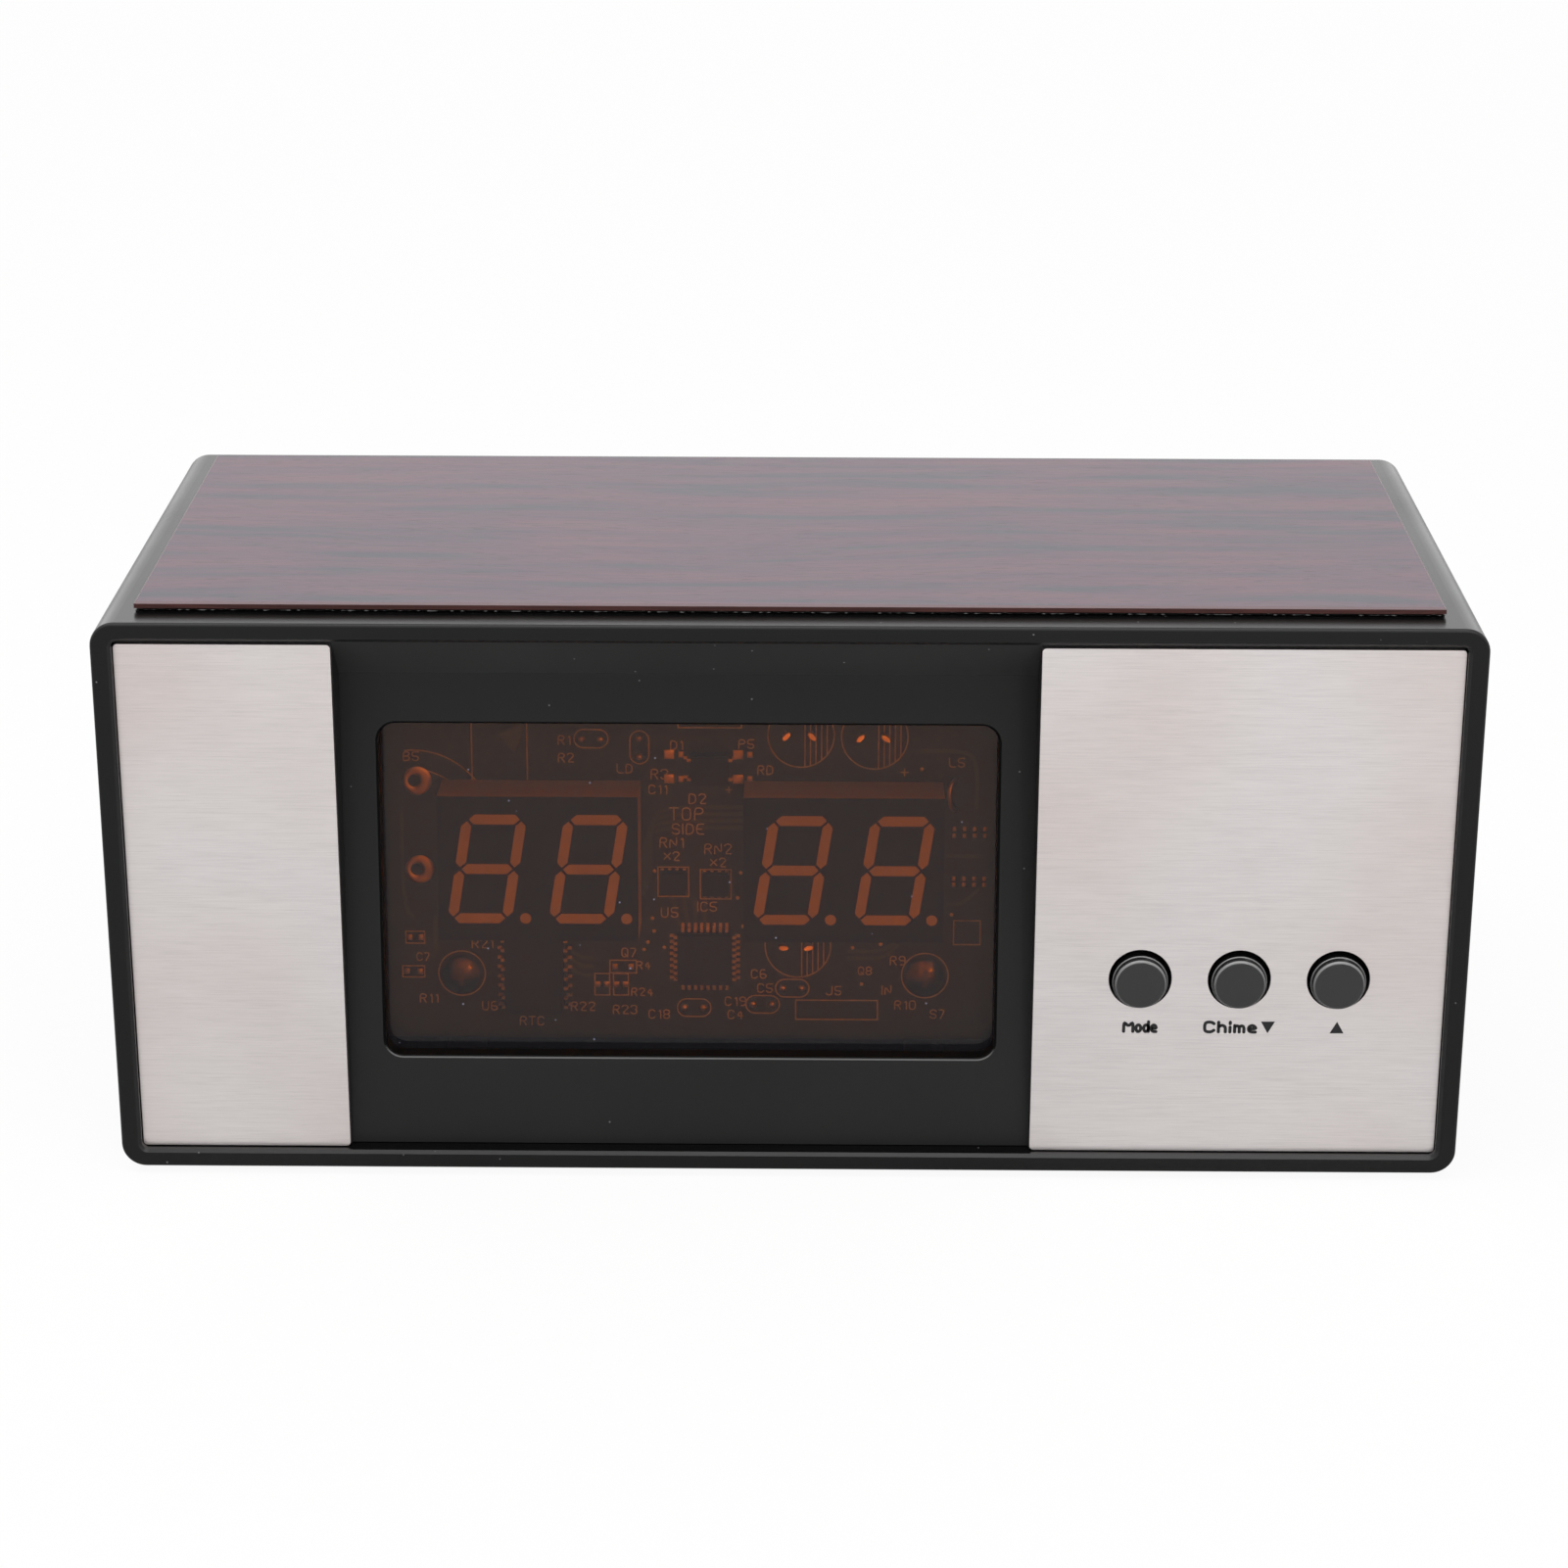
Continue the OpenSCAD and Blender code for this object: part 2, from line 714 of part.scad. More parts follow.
module display_segments() {
  color("#a5532b") leaning() for (side = [-1, 1]) {
    translate([side * display_pitch / 2, 0, display_z]) slab(display_y, stroke_in) digits();
  }
}

module main_board() {
  color("#3b2a1c") leaning() slab(board_y, board_t) difference() {
    translate([0, board_z]) square([board_w, board_h], center = true);
    for (x = [-1, 1], z = [screw_low, screw_high]) {
      translate([x * board_screw_x, z]) circle((board_screw[0] + hole_gap) / 2);
    }
  }
}

// Chip body standing on its leads, with a bevelled top edge, towards -Y
module chip(size) {
  bevel = 0.25;
  translate([0, -chip_lift - size[2], 0]) {
    translate([0, bevel / 2, 0]) cube([size[0] - 2 * bevel, bevel, size[1] - 2 * bevel], center = true);
    slab(bevel, size[2] - bevel) square([size[0], size[1]], center = true);
  }
}

// Row of bent leads on the +X side of a chip, from the body's mid-height to the board
module lead_row(size, count, pitch) {
  mid = -chip_lift - size[2] / 2;
  for (i = [0:count - 1]) {
    translate([size[0] / 2, 0, (i - (count - 1) / 2) * pitch - lead_w / 2]) linear_extrude(lead_w) polygon([
      [0, mid - lead_t],
      [lead_out / 2, mid - lead_t],
      [lead_out / 2, -lead_t],
      [lead_out, -lead_t],
      [lead_out, 0],
      [lead_out / 2 - lead_t, 0],
      [lead_out / 2 - lead_t, mid],
      [0, mid]
    ]);
  }
}

module microcontroller() {
  color("#202024") on_board(mcu_at, board_y) chip(mcu_body);
}

module clock_chip() {
  color("#202024") on_board(clock_at, board_y) chip(clock_body);
}

module bridge_rectifier() {
  color("#202024") on_board(bridge_at, board_y) chip(bridge_body);
}

module resistor_arrays() {
  color("#26221f") for (at = array_at) on_board(at, board_y + chip_lift) chip(array_body);
}

module chip_leads() {
  color("#c9b8a0") {
    for (a = [0:90:270]) on_board(mcu_at, board_y) rotate([0, a, 0]) lead_row(mcu_body, mcu_leads, mcu_pitch);
    for (a = [0, 180]) {
      on_board(clock_at, board_y) rotate([0, a, 0]) lead_row(clock_body, clock_leads, clock_pitch);
      on_board(bridge_at, board_y) rotate([0, a, 0]) lead_row(bridge_body, bridge_leads, bridge_pitch);
    }
  }
}

// U-shaped bracket behind the board: a bar past the board's edge at post_z and two arms to screw_z
module bracket(post_z, screw_z) {
  arm_end = screw_z + sign(screw_z - post_z) * bracket_arm / 2;
  low = min(post_z - post_r, arm_end);
  high = max(post_z + post_r, arm_end);
  bar_w = 2 * board_screw_x + bracket_arm;
  leaning() difference() {
    union() {
      translate([-bar_w / 2, bracket_y, post_z - post_r]) cube([bar_w, bracket_t, 2 * post_r]);
      for (x = [-1, 1]) {
        translate([x * board_screw_x - bracket_arm / 2, bracket_y, low]) {
          cube([bracket_arm, bracket_t, high - low]);
        }
        translate([x * board_screw_x, 0, screw_z]) rod(post_r, board_back, bracket_gap + bite);
      }
    }
    for (x = [-1, 1]) {
      translate([x * board_screw_x, 0, screw_z]) {
        rod((board_screw[0] + pilot_gap) / 2, board_back - over, board_screw_l + over);
      }
      translate([x * board_screw_x, 0, post_z]) {
        rod((board_screw[0] + hole_gap) / 2, bracket_y - over, bracket_t + 2 * over);
      }
    }
  }
}

module lower_bracket() {
  color("#2f2f31") bracket(post_low, screw_low);
}

module upper_bracket() {
  color("#2f2f31") bracket(post_high, screw_high);
}

module bracket_screws() {
  color("#8d8f92") leaning() for (x = [-1, 1], z = [post_low, post_high]) {
    translate([x * board_screw_x, bracket_back, z]) rotate([0, 0, 180]) screw(board_screw, bracket_screw_l);
  }
}

module board_screws() {
  color("#a8a29a") leaning() for (x = [-1, 1], z = [screw_low, screw_high]) {
    translate([x * board_screw_x, board_y, z]) screw(board_screw, board_screw_l);
  }
}

module electrolytic_capacitors() {
  color("#1f2430") for (at = capacitor_at) {
    on_board(at, board_back) turned() difference() {
      square([capacitor_r, capacitor_l]);
      translate([capacitor_r, groove_z]) circle(groove_r);
    }
  }
}

module ceramic_capacitors() {
  color("#b07a2e") for (at = ceramic_at) {
    on_board(at, board_back) translate([0, ceramic_size[1] / 2, -ceramic_size[2] / 2]) {
      linear_extrude(ceramic_size[2]) round_rect(ceramic_size[0], ceramic_size[1], ceramic_r);
    }
  }
}

module battery_holder() {
  r = cell_r + cell_gap + holder_wall;
  l = holder_floor + cell_t;
  color("#26262a") on_board(cell_at, board_back) difference() {
    rod(r, 0, l);
    rod(cell_r + cell_gap, holder_floor, l);
    translate([-r - over, holder_floor, -cell_r / 2]) cube([2 * (r + over), l, cell_r]);
  }
}

module coin_cell() {
  color("#c4c4c4") on_board(cell_at, board_back + holder_floor) turned() difference() {
    square([cell_r, cell_t]);
    translate([cell_r - cell_lip, cell_t - cell_groove]) square([cell_groove, over]);
  }
}

// Spring strap over the coin cell, with a leg down each open side of the holder
module battery_clip() {
  r = cell_r + cell_gap + holder_wall;
  l = holder_floor + cell_t + clip_t;
  color("#bdbcb6") on_board(cell_at, board_back) translate([0, 0, -clip_w / 2]) linear_extrude(clip_w) {
    difference() {
      translate([-r - clip_t, 0]) square([2 * (r + clip_t), l]);
      translate([-r, -over]) square([2 * r, l - clip_t + over]);
    }
  }
}

module buzzer() {
  color("#1c1c1e") on_board(buzzer_at, board_back) turned() difference() {
    square([buzzer_r, buzzer_l]);
    translate([0, buzzer_l - buzzer_hole]) square([buzzer_hole, over + buzzer_hole]);
  }
}

// Plug seated on a pin header, along +Y from the board
module header(pins) {
  w = pins * header_pitch;
  slab(0, header_l) square([w, header_t], center = true);
  translate([0, 0, header_t / 2]) slab(latch_y, latch[1]) square([w - latch[0], latch[2]], center = true);
}

module button_header() {
  color("#e4e0d4") on_board(header_at, board_back) header(4);
}

module supply_header() {
  color("#e4e0d4") on_board(supply_at, board_back) header(2);
}

module button_board() {
  color("#2c4a34") slab(button_board_y, board_t) translate([button_x, button_level]) difference() {
    square([button_board_w, button_board_h], center = true);
    for (x = [-1, 1]) translate([x * button_post_x, 0]) circle((small_screw[0] + hole_gap) / 2);
  }
}

module button_board_header() {
  color("#e4e0d4") translate([button_x, button_board_back, button_level]) header(4);
}

module button_board_screws() {
  color("#8d8f92") for (x = [-1, 1]) {
    translate([button_x + x * button_post_x, button_board_back, button_level]) rotate([0, 0, 180]) {
      screw(small_screw, small_screw_l);
    }
  }
}

module switch_bodies() {
  color("#3a3a3d") for (i = [-1:1]) {
    translate([button_x + i * button_pitch, switch_y, button_level]) difference() {
      slab(0, switch_t) square([switch_w, switch_w], center = true);
      rod(stem_r + running_gap, -over, lid_t + 2 * over);
      rod(collar_r + running_gap, lid_t, collar_t + running_gap + 2 * button_travel);
    }
  }
}

// Plunger of a switch: a collar under the switch's lid, a round stem and a square head
module plunger(i) {
  color("#d9d5c8") translate([button_x + i * button_pitch, switch_y, button_level]) {
    rod(collar_r, lid_t + running_gap, collar_t);
    rod(stem_r, -button_gap / 4, lid_t + running_gap + button_gap / 4 + bite);
    slab(-plunger_out, plunger_out) square([plunger_w, plunger_w], center = true);
  }
}

module plunger_left() { plunger(-1); }
module plunger_middle() { plunger(0); }
module plunger_right() { plunger(1); }

// Half section of a disc with a round front edge, from its front at y0 back to y1
module disc_half(r, edge, y0, y1) {
  translate([0, y0 + edge]) square([r, y1 - y0 - edge]);
  translate([0, y0]) square([r - edge, y1 - y0]);
  translate([r - edge, y0 + edge]) circle(edge);
}

// Cap with a raised round face on a flange, pushed onto the plunger's square head
module button_cap(i) {
  l = cap_back - cap_y;
  socket = plunger_w + 2 * push_fit;
  color("#363636") translate([button_x + i * button_pitch, cap_y, button_level]) difference() {
    turned() {
      disc_half(button_face_d / 2, button_edge, 0, l);
      disc_half(button_d / 2, flange_edge, button_step, l);
    }
    slab(switch_y - plunger_out - cap_y, l) square([socket, socket], center = true);
  }
}

module button_left() { button_cap(-1); }
module button_middle() { button_cap(0); }
module button_right() { button_cap(1); }

// Point and direction on a cubic curve with four control points
function curve(p, t) = pow(1 - t, 3) * p[0] + 3 * t * pow(1 - t, 2) * p[1]
  + 3 * t * t * (1 - t) * p[2] + pow(t, 3) * p[3];
function unit(v) = v / norm(v);
function heading(p, t) = unit(pow(1 - t, 2) * (p[1] - p[0])
  + 2 * t * (1 - t) * (p[2] - p[1]) + t * t * (p[3] - p[2]));

// Ring of points square to the curve
function ring(p, t, r) = let (d = heading(p, t), a = unit(cross(d, [0, 0, 1])), b = cross(d, a))
  [for (k = [0:wire_sides - 1]) let (q = 360 * k / wire_sides) curve(p, t) + r * (a * cos(q) + b * sin(q))];

// Round wire swept along a cubic curve
module wire(p) {
  n = wire_sides;
  points = [for (i = [0:wire_rings]) each ring(p, i / wire_rings, wire_d / 2)];
  side = [for (i = [0:wire_rings - 1], k = [0:n - 1]) let (j = (k + 1) % n)
    each [[i * n + k, i * n + j, (i + 1) * n + k], [i * n + j, (i + 1) * n + j, (i + 1) * n + k]]];
  last = wire_rings * n;
  caps = [for (k = [1:n - 2]) each [[0, k + 1, k], [last, last + k, last + k + 1]]];
  polyhedron(points, concat(side, caps));
}

module button_harness() {
  away = [0, cos(lean), -sin(lean)];
  color("#8c3a30") for (k = [-1.5:1.5]) {
    from = leaned([header_at[0] - k * header_pitch, board_back + header_l, board_z + header_at[1]]);
    to = [button_x + k * header_pitch, button_board_back + header_l, button_level];
    fan = harness_fan * k;
    wire([from, from + away * (harness_out + fan), to + [0, harness_back + fan, 0], to]);
  }
}

module supply_leads() {
  away = [0, cos(lean), -sin(lean)];
  color("#30343c") for (k = [-0.5, 0.5]) {
    from = leaned([supply_at[0] + k * header_pitch, board_back + header_l, board_z + supply_at[1]]);
    to = [jack_x + k * header_pitch, cover_y - jack_body_l, jack_level];
    wire([from, from + away * supply_out, to - [0, supply_back, 0], to]);
  }
}

module rear_cover() {
  buzzer_x = leaned([buzzer_at[0], 0, 0])[0];
  buzzer_z = leaned([0, board_back, board_z + buzzer_at[1]])[2];
  rib_w = 2 * (block_x - corner_block / 2 - cover_gap);
  color("#27272a") difference() {
    union() {
      slab(cover_y, cover_t) {
        translate([0, (cover_z0 + cover_z1) / 2]) round_rect(2 * cover_x, cover_z1 - cover_z0, bore_r);
      }
      for (z = [cover_z0, cover_z1 - rib_t]) {
        translate([-rib_w / 2, cover_y - rib_l, z]) cube([rib_w, rib_l + bite, rib_t]);
      }
    }
    for (x = [-1, 1], z = block_zs) {
      translate([x * block_x, 0, z]) rod((case_screw[0] + hole_gap) / 2, cover_y - over, cover_t + 2 * over);
    }
    translate([jack_x, 0, jack_level]) rod(jack_neck_d / 2 + drop_gap, cover_y - over, cover_t + 2 * over);
    for (i = [0:slot_count - 1]) {
      translate([buzzer_x + (i - (slot_count - 1) / 2) * slot_step, 0, buzzer_z]) {
        slab(cover_y - over, cover_t + 2 * over) round_rect(slot_w, slot_l, slot_w * 0.499);
      }
    }
  }
}

module rear_cover_screws() {
  color("#6f7174") for (x = [-1, 1], z = block_zs) {
    translate([x * block_x, cover_y + cover_t, z]) rotate([0, 0, 180]) screw(case_screw, case_screw_l);
  }
}

module power_jack() {
  color("#1b1b1d") translate([jack_x, cover_y, jack_level]) turned() {
    difference() {
      union() {
        translate([0, -jack_body_l]) square([jack_body_r, jack_body_l]);
        translate([0, -bite]) square([jack_neck_d / 2, cover_t + nut_t + bite]);
      }
      translate([0, cover_t + nut_t - jack_bore_l]) square([jack_bore_d / 2, jack_bore_l + over]);
    }
  }
}

module jack_pin() {
  color("#c8c0a8") translate([jack_x, cover_y, jack_level]) {
    rod(jack_pin_d / 2, cover_t + nut_t - jack_bore_l, jack_pin_l);
  }
}

module jack_nut() {
  color("#8d8f92") translate([jack_x, cover_y + cover_t, jack_level]) difference() {
    rotate([-90, 0, 0]) cylinder(r = nut_across / sqrt(3), h = nut_t, $fn = 6);
    rod(jack_neck_d / 2 + running_gap, -over, nut_t + 2 * over);
  }
}

case_shell();
wood_adhesive();
wood_top();
rubber_feet();
front_panel();
front_panel_screws();
left_plate();
right_plate();
window_lens();
display_left();
display_right();
display_segments();
main_board();
microcontroller();
clock_chip();
bridge_rectifier();
resistor_arrays();
chip_leads();
lower_bracket();
upper_bracket();
bracket_screws();
board_screws();
electrolytic_capacitors();
ceramic_capacitors();
battery_holder();
battery_clip();
coin_cell();
buzzer();
button_header();
supply_header();
button_board();
button_board_header();
button_board_screws();
switch_bodies();
plunger_left();
plunger_middle();
plunger_right();
button_left();
button_middle();
button_right();
button_harness();
supply_leads();
rear_cover();
rear_cover_screws();
power_jack();
jack_pin();
jack_nut();
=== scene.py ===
"""Looks of a desk alarm clock with an amber window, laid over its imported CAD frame.

Comments give lengths in millimetres. The frame is in metres, +Z up, with the clock's front facing -Y.
"""

import math

import bpy
import numpy as np
from mathutils import Matrix, Vector


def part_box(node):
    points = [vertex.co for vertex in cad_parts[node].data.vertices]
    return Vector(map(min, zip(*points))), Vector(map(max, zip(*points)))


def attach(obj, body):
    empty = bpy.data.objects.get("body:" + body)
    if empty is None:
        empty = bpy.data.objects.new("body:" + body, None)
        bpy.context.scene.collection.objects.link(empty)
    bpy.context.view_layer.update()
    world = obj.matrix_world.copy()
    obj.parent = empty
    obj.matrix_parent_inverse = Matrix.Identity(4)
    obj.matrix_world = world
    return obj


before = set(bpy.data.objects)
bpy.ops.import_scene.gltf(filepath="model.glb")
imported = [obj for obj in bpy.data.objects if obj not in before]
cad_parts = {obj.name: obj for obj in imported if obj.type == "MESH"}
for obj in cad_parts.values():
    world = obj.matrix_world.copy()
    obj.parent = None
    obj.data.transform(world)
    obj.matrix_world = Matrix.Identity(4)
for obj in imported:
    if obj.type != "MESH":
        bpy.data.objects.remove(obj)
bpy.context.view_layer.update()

bl_info = {
    "name": "Desk alarm clock looks",
    "version": (1, 0, 0),
    "blender": (4, 5, 0),
    "location": "View3D > Sidebar > Clock",
    "description": "Finishes, prints and solder details of a desk alarm clock",
    "category": "Object",
}

MM = 0.001
BODY = "case"
BLACK, WHITE = (0.0,) * 3, (1.0,) * 3
# Ways for sweeping a profile: across the board or plate, up it and out of it
ACROSS, UP, OUT = np.eye(3)

# The main board's thickness, which with its box gives how far it leans
BOARD_T = 1.6 * MM
# How far the display modules, the middle of the window and the front panel's face are in front of the board
DISPLAY_OUT = 8.0
WINDOW_OUT = 11.1
PANEL_OUT = 15.0
# How far back the window opening's gloss and painted shade begin, its rim's painted highlight reaches and the
# display modules' paint reaches
SHADE_IN = 0.02
RIM_HIGHLIGHT = 0.17
PAINT_IN = 0.1
# Edges that turn by more than this stay crisp on the new pieces
CRISP = math.radians(40)


def linear(code):
    """An sRGB hex colour as linear red, green and blue."""
    channels = np.array([int(code[i : i + 2], 16) for i in (1, 3, 5)]) / 255
    low, high = channels / 12.92, ((channels + 0.055) / 1.055) ** 2.4
    return tuple(np.where(channels <= 0.04045, low, high).tolist())


def tint(name, description, code):
    """A colour that a user may change."""
    return bpy.props.FloatVectorProperty(
        name=name, description=description, subtype="COLOR", size=3, min=0, max=1, default=linear(code)
    )


def length(name, description, mm):
    """A length that a user may change, given in millimetres and kept in metres."""
    return bpy.props.FloatProperty(
        name=name, description=description, unit="LENGTH", precision=5, min=0, default=mm * MM
    )


def angle(name, description, degrees):
    """An angle that a user may change, given in degrees."""
    return bpy.props.FloatProperty(
        name=name, description=description, subtype="ANGLE", default=math.radians(degrees)
    )


class ClockSizes(bpy.types.PropertyGroup):
    """Scales of the finishes and sizes of the prints."""

    mould_grain: length("Mould grain", "Spacing of the pits on moulded plastic", 0.3)
    dust_spacing: length("Dust spacing", "Distance between specks of dust", 3.4)
    dust_speck: length("Dust speck", "Radius of a speck of dust", 0.14)
    brush_line: length("Brush line", "Width of a scratch on the brushed steel", 0.11)
    brush_length: length("Brush length", "Length of a scratch on the brushed steel", 5)
    grain_width: length("Grain width", "Width of a streak in the rosewood", 3.4)
    grain_length: length("Grain length", "Length of a streak in the rosewood", 42)
    fibre_width: length("Fibre width", "Width of a fibre line in the rosewood", 0.34)
    label_height: length("Label height", "Height of a capital on the button labels", 1.72)
    label_line: length("Label line", "Width of a stroke on the button labels", 0.4)
    label_drop: length("Label drop", "How far a label's middle is below its button's", 6.05)
    label_ink: length("Label ink", "Thickness of the printed labels", 0.03)
    print_line: length("Print line", "Width of a line printed on the board", 0.17)
    print_height: length("Print height", "Height of a capital printed on the board", 1.3)
    print_ink: length("Print ink", "Thickness of the board's print", 0.03)
    glue_bulge: length("Glue bulge", "How far the glue under the wood swells past its pad", 0.48)


class ClockColours(bpy.types.PropertyGroup):
    """Colours of the finishes, as they look in plain light."""

    case_black: tint("Case black", "Satin plastic of the case", "#0c0c0c")
    panel_black: tint("Panel black", "Satin plastic of the front panel", "#222222")
    button_grey: tint("Button grey", "Plastic of the button caps", "#1a1a1a")
    wood_red: tint("Wood red", "Red heartwood between the streaks", "#64424e")
    wood_brown: tint("Wood brown", "Middle tone of the rosewood", "#573c4d")
    wood_dark: tint("Wood dark", "Blue-grey dark streaks", "#3c3a46")
    wood_edge: tint("Wood edge", "Cut edge of the veneered board", "#4a2926")
    steel: tint("Steel", "Brushed stainless steel", "#ccc7c6")
    window_amber: tint("Window amber", "Light left after one pass through the window", "#b47829")
    segment: tint("Segment", "Unlit diffuser of the digits", "#cdcfbe")
    board_mask: tint("Board mask", "Solder mask of the circuit board", "#36483a")
    board_print: tint("Board print", "White print on the circuit board", "#e0e0d8")
    label_ink: tint("Label ink", "Ink of the button labels", "#0e0e0e")


class ClockStage(bpy.types.PropertyGroup):
    """Camera and light of the photograph."""

    lens: bpy.props.FloatProperty(
        name="Lens", description="Focal length on a 36 mm square", default=86.45, subtype="DISTANCE_CAMERA"
    )
    pitch: angle("Pitch", "How far the camera looks down", 20.33)
    yaw: angle("Yaw", "How far the camera turns right", -0.522)
    roll: angle("Roll", "How far the camera tips", 0.11)
    place: bpy.props.FloatVectorProperty(
        name="Place", description="Where the camera is", default=(0.00334, -0.46404, 0.2105), subtype="XYZ"
    )
    ambient: bpy.props.FloatProperty(
        name="Ambient", description="Strength of the light from all round", default=0.45, min=0
    )


def settings():
    """The scene's sizes and colours."""
    return bpy.context.scene.clock_sizes, bpy.context.scene.clock_colours


def link(source, node, socket):
    """Joins a socket, or a node's first output, to a socket of another node."""
    source = source.outputs[0] if isinstance(source, bpy.types.Node) else source
    node.id_data.links.new(source, node.inputs[socket])


def add(near, kind, inputs=None, stops=None, **options):
    """Adds one node to the tree of another: its options, its colour stops, and a value or link for each input.

    A node that is given as a value stands for its first output.
    """
    node = near.id_data.nodes.new("ShaderNode" + kind)
    for key, value in options.items():
        setattr(node, key, value)
    if stops:
        ramp = node.color_ramp.elements
        while len(ramp) < len(stops):
            ramp.new(1.0)
        for element, (position, colour) in zip(ramp, stops):
            element.position = position
            element.color = (*colour[:3], 1.0)
    for key, value in (inputs or {}).items():
        if isinstance(value, (bpy.types.Node, bpy.types.NodeSocket)):
            link(value, node, key)
        else:
            node.inputs[key].default_value = value
    return node


def material(name, **constants):
    """A material with one Principled node holding the constants, and its Object coordinates in millimetres."""
    made = bpy.data.materials.new(name)
    made.use_nodes = True
    shader = made.node_tree.nodes["Principled BSDF"]
    for key, value in constants.items():
        shader.inputs[key.replace("_", " ").replace("Ior", "IOR")].default_value = value
    place = add(shader, "TexCoord").outputs["Object"]
    scale = (1 / MM,) * 3
    return made, shader, add(shader, "Mapping", {"Vector": place, "Scale": scale}).outputs[0]


def shade(colour, share):
    """A colour made darker or lighter by a share, with its alpha."""
    return (*(min(1.0, channel * share) for channel in colour), 1.0)


def opaque(code):
    """An sRGB hex colour as linear red, green and blue, with its alpha."""
    return (*linear(code), 1.0)


def noise(place, scale, detail=2.0, roughness=0.5):
    """A noise with so many blots to a millimetre: one number, or three along the axes."""
    if isinstance(scale, tuple):
        place, scale = add(place, "Mapping", {"Vector": place, "Scale": scale}), 1.0
    return add(place, "TexNoise", {"Vector": place, "Scale": scale, "Detail": detail, "Roughness": roughness})


def tones(source, *stops):
    """Colours at stops along a value, blended between them."""
    return add(source, "ValToRGB", {0: source}, stops)


def paint(shader, source, *stops):
    """Gives a shader the colours at stops along a value."""
    link(tones(source, *stops), shader, "Base Color")


def band(source, *ends):
    """1 between the second and third of four rising values, and 0 before the first and past the last."""
    return tones(source, *zip(ends, (BLACK, WHITE, WHITE, BLACK)))


def span(source, low, high, first=0.0, last=1.0):
    """A value from low to high, mapped evenly to one from first to last and held at both ends."""
    return add(source, "MapRange", {0: source, 1: low, 2: high, 3: first, 4: last})


def times(first, second):
    """The product of two colours, or of a colour and a value."""
    return add(first, "VectorMath", {0: first, 1: second}, operation="MULTIPLY")


def blend(share, first, second):
    """A socket with two colours mixed by a share of the second."""
    return add(share, "Mix", {0: share, 6: first, 7: second}, data_type="RGBA").outputs[2]


def facing(near, normal="True Normal"):
    """Which way a face points, as sockets for X, Y and Z."""
    return add(near, "SeparateXYZ", {0: add(near, "NewGeometry").outputs[normal]}).outputs


def emboss(shader, height, strength, depth):
    """Makes a pattern stand out by a depth in millimetres."""
    bump = add(shader, "Bump", {"Strength": strength, "Distance": depth * MM, "Height": height})
    link(bump, shader, "Normal")


def overlay(share, first, second):
    """Shows two shaders mixed by a share of the second."""
    mix = add(share, "MixShader", {0: share, 1: first, 2: second})
    link(mix, share.id_data.nodes["Material Output"], "Surface")


def dress(made, *nodes):
    """Puts a material on the slots of CAD nodes."""
    for name in nodes:
        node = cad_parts[name]
        if not node.material_slots:
            node.data.materials.append(made)
        for place in node.material_slots:
            place.material = made


def dust(place):
    """A node that is 1 on specks of dust: places within a speck's radius of the points of a cell pattern."""
    sizes, _ = settings()
    cells = add(place, "TexVoronoi", {"Vector": place, "Scale": MM / sizes.dust_spacing})
    reach = sizes.dust_speck / sizes.dust_spacing
    return span(cells.outputs["Distance"], reach * 0.5, reach, 1.0, 0.0)


def moulded_plastic(name, colour, roughness, level, grain, dusty=False, highlight_tone=None):
    """Plastic or rubber moulded in a spark-eroded tool: fine pits give a satin, and flow marks tone it.

    Specks of dust may lie on it, and a painted highlight may lighten those edges that turn from the front
    or back to a side, most of all where they face up. The grain is in millimetres.
    """
    made, shader, place = material(name, Specular_Ior_Level=level)
    flow = noise(place, 1 / 24)
    tone = tones(flow, (0.3, colour), (0.7, shade(colour, 1.15)))
    link(span(flow, 0.3, 0.7, roughness - 0.04, roughness + 0.04), shader, "Roughness")
    emboss(shader, noise(place, 1 / grain), 0.25, 0.03)
    if highlight_tone:
        # Painted highlight: a paler tone on edges that turn to a side, strongest where they face up
        way = facing(shader, "Normal")
        edge = band(add(shader, "Math", {0: way["Y"]}, operation="ABSOLUTE"), 0.1, 0.3, 0.9, 0.97)
        upper = span(way["Z"], -0.2, 0.7, 0.2)
        painted_highlight = add(shader, "Math", {0: edge, 1: upper}, operation="MULTIPLY")
        tone = blend(painted_highlight, tone, (*highlight_tone, 1.0))
    if dusty:
        tone = blend(dust(place), tone, opaque("#6a6a6a"))
    link(tone, shader, "Base Color")
    return made


